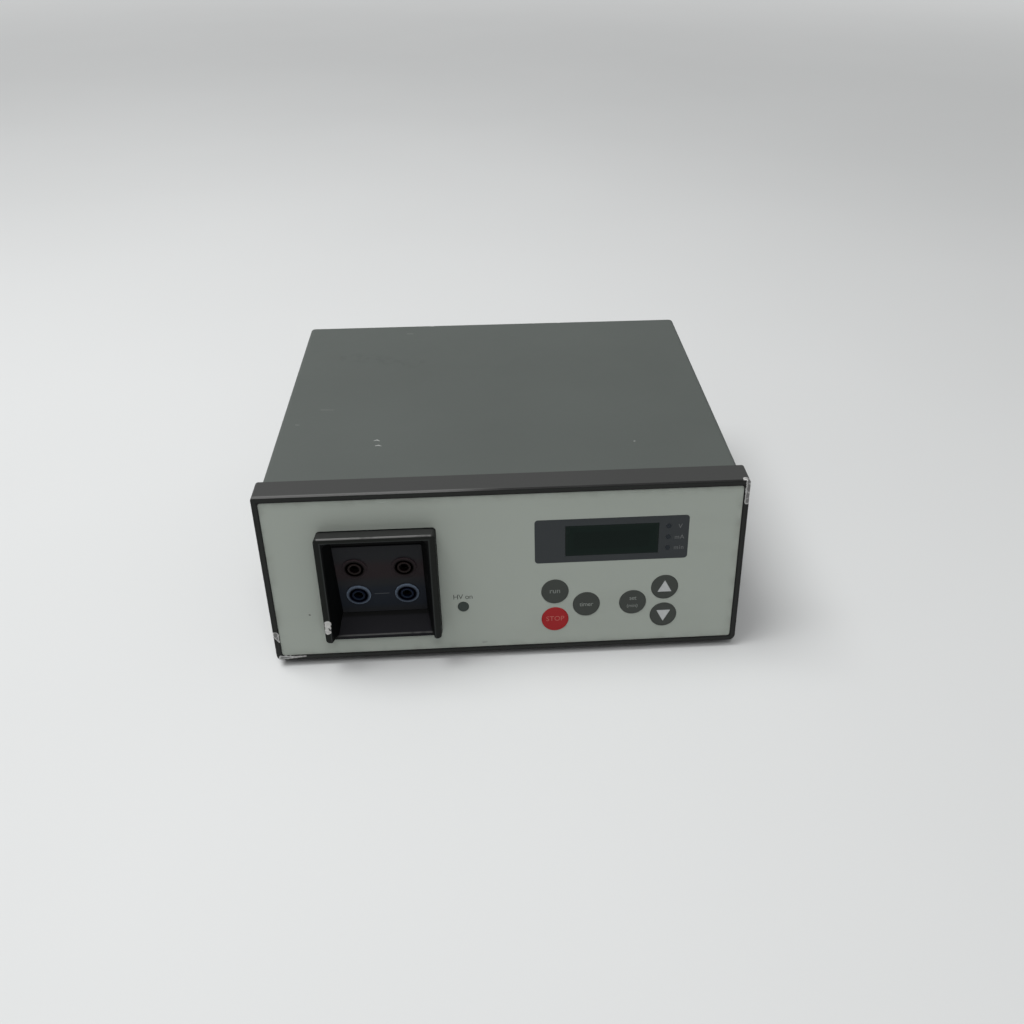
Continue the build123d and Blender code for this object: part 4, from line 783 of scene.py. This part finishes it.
def arrow(name, across, height, pointing, body):
    """Printed triangle with slightly blunt corners on a key: pointing is 1 upwards, -1 downwards."""
    bpy.ops.object.select_all(action="DESELECT")
    bpy.ops.mesh.primitive_circle_add(vertices=3, radius=1.0, fill_type="NGON")
    piece = bpy.context.object
    bpy.ops.object.mode_set(mode="EDIT")
    bpy.ops.mesh.select_all(action="SELECT")
    bpy.ops.mesh.bevel(offset=0.07, affect="VERTICES", segments=3)
    bpy.ops.mesh.select_all(action="SELECT")
    bpy.ops.mesh.extrude_region_move(TRANSFORM_OT_translate={"value": (0.0, 0.0, 2 * ink_depth)})
    bpy.ops.object.mode_set(mode="OBJECT")
    size = Matrix.Diagonal((4.15 * mm, pointing * 4.4 * mm, 1.0, 1.0))
    sunk = key_depth + 0.01
    piece.matrix_world = on_panel(across, height - pointing * 0.45, sunk) @ size
    settle(piece, name, "arrow_ink", body)
    bpy.ops.object.mode_set(mode="EDIT")
    bpy.ops.mesh.select_all(action="SELECT")
    bpy.ops.mesh.normals_make_consistent(inside=False)
    bpy.ops.object.mode_set(mode="OBJECT")


legend("run_legend", "run", 3.0, on_key(24.3, 34.6), "pale_ink", "key_run")
legend("stop_legend", "STOP", 2.9, on_key(24.4, 18.1), "red_key_ink", "key_stop")
legend("timer_legend", "timer", 2.6, on_key(40.5, 26.0), "pale_ink", "key_timer", 0.9)
legend("set_legend", "set", 2.5, on_key(64.5, 28.5), "pale_ink", "key_set", 0.9)
legend("set_unit_legend", "(min)", 2.0, on_key(64.3, 24.0), "pale_ink", "key_set")
arrow("up_arrow", arrow_column, upper_key_row, 1.0, "key_up")
arrow("down_arrow", arrow_column, lower_key_row, -1.0, "key_down")
legend("volt_mark", "V", 2.5, on_film(86.8, 68.5), "unit_ink", "case")
legend("milliamp_mark", "mA", 2.4, on_film(86.6, 62.6), "unit_ink", "case", 1.1)
legend("minute_mark", "min", 2.4, on_film(86.6, 56.8), "unit_ink", "case", 1.1)
legend("live_mark", "HV on", 2.9, on_film(-22.5, 33.3), "dark_ink", "case", 0.95)
legend("off_mark", "O", 3.6, on_rocker(1.0), "white_ink", "mains_rocker")
legend("on_mark", "I", 3.6, on_rocker(-1.0), "white_ink", "mains_rocker")


# Camera, light and floor

picture_pixels = 1024.0
focal_pixels = 845.998
middle_across_pixels = 532.224
middle_down_pixels = 521.097
sensor_width = 36.0
camera_place = (-6.995, -307.388, 327.556)
camera_turn = (51.8591, 0.0072, -3.5869)


def aim_camera():
    """Camera of the photograph, solved from the case's straight edges."""
    data = bpy.data.cameras.new("camera")
    camera = bpy.data.objects.new("camera", data)
    bpy.context.scene.collection.objects.link(camera)
    turn = Euler([math.radians(angle) for angle in camera_turn]).to_matrix().to_4x4()
    camera.matrix_world = Matrix.Translation(upright_point(*camera_place)) @ turn
    data.sensor_width = sensor_width
    data.lens = focal_pixels / picture_pixels * sensor_width
    data.shift_x = (picture_pixels / 2 - middle_across_pixels) / picture_pixels
    data.shift_y = (middle_down_pixels - picture_pixels / 2) / picture_pixels
    data.clip_start = 0.02
    data.clip_end = 50.0
    bpy.context.scene.camera = camera


def soft_lamp(name, place, aim, size, power):
    """Square area lamp turned towards a point."""
    data = bpy.data.lights.new(name, "AREA")
    data.energy = power
    data.size = size
    lamp = bpy.data.objects.new(name, data)
    bpy.context.scene.collection.objects.link(lamp)
    ahead = (Vector(aim) - Vector(place)).normalized()
    lamp.matrix_world = Matrix.Translation(place) @ ahead.to_track_quat("-Z", "Y").to_matrix().to_4x4()


def sky(horizon, zenith, seen):
    """Soft light from all round, stronger overhead; the camera and reflections see one pale tone."""
    world = bpy.data.worlds.new("room")
    bpy.context.scene.world = world
    world.use_nodes = True
    room = NodeTree(world.node_tree)
    place = room.node("ShaderNodeTexCoord").outputs["Generated"]
    upward = room.node("ShaderNodeSeparateXYZ", {}, {0: place}).outputs[2]
    ends = {"Value": upward, "To Min": horizon, "To Max": zenith}
    light = room.node("ShaderNodeMapRange", {}, ends).outputs[0]
    tone = room.node("ShaderNodeMix", {}, {0: room.in_sight(), 2: light, 3: seen}).outputs[0]
    room.feed(world.node_tree.nodes["Background"].inputs[0], tone)


def table_floor():
    """Pale table top under the case, which stays pale to the eye far from the lamps."""
    finish = Finish("table")
    away = (finish.x * finish.x + finish.y * finish.y) ** 0.5
    glow = finish.between(away, 0.5, 3.4) * finish.in_sight()
    finish.wear(
        base_color=finish.mix(finish.noise(2.0, 3.0), (0.565, 0.575, 0.575), (0.62, 0.63, 0.63)),
        roughness=0.6,
        emission_color=finish.mix(glow, (0.0, 0.0, 0.0), (0.33, 0.335, 0.335)),
        emission_strength=1.0,
    )
    bpy.ops.object.select_all(action="DESELECT")
    bpy.ops.mesh.primitive_plane_add(size=8.0, location=(0.0, 1.0, 0.0))
    floor = bpy.context.object
    bpy.ops.object.transform_apply(location=True, rotation=True, scale=True)
    floor.name = "table"
    floor.data.materials.append(finish.material)


aim_camera()
soft_lamp("key_lamp", (-0.6, 0.2, 1.6), (0.0, 0.0, 0.0), 0.9, 24.0)
soft_lamp("front_lamp", (0.1, -0.75, 1.6), (0.0, 0.0, 0.05), 0.7, 6.5)
sky(horizon=0.0, zenith=0.55, seen=0.46)
table_floor()

bpy.context.scene.view_settings.view_transform = "Standard"
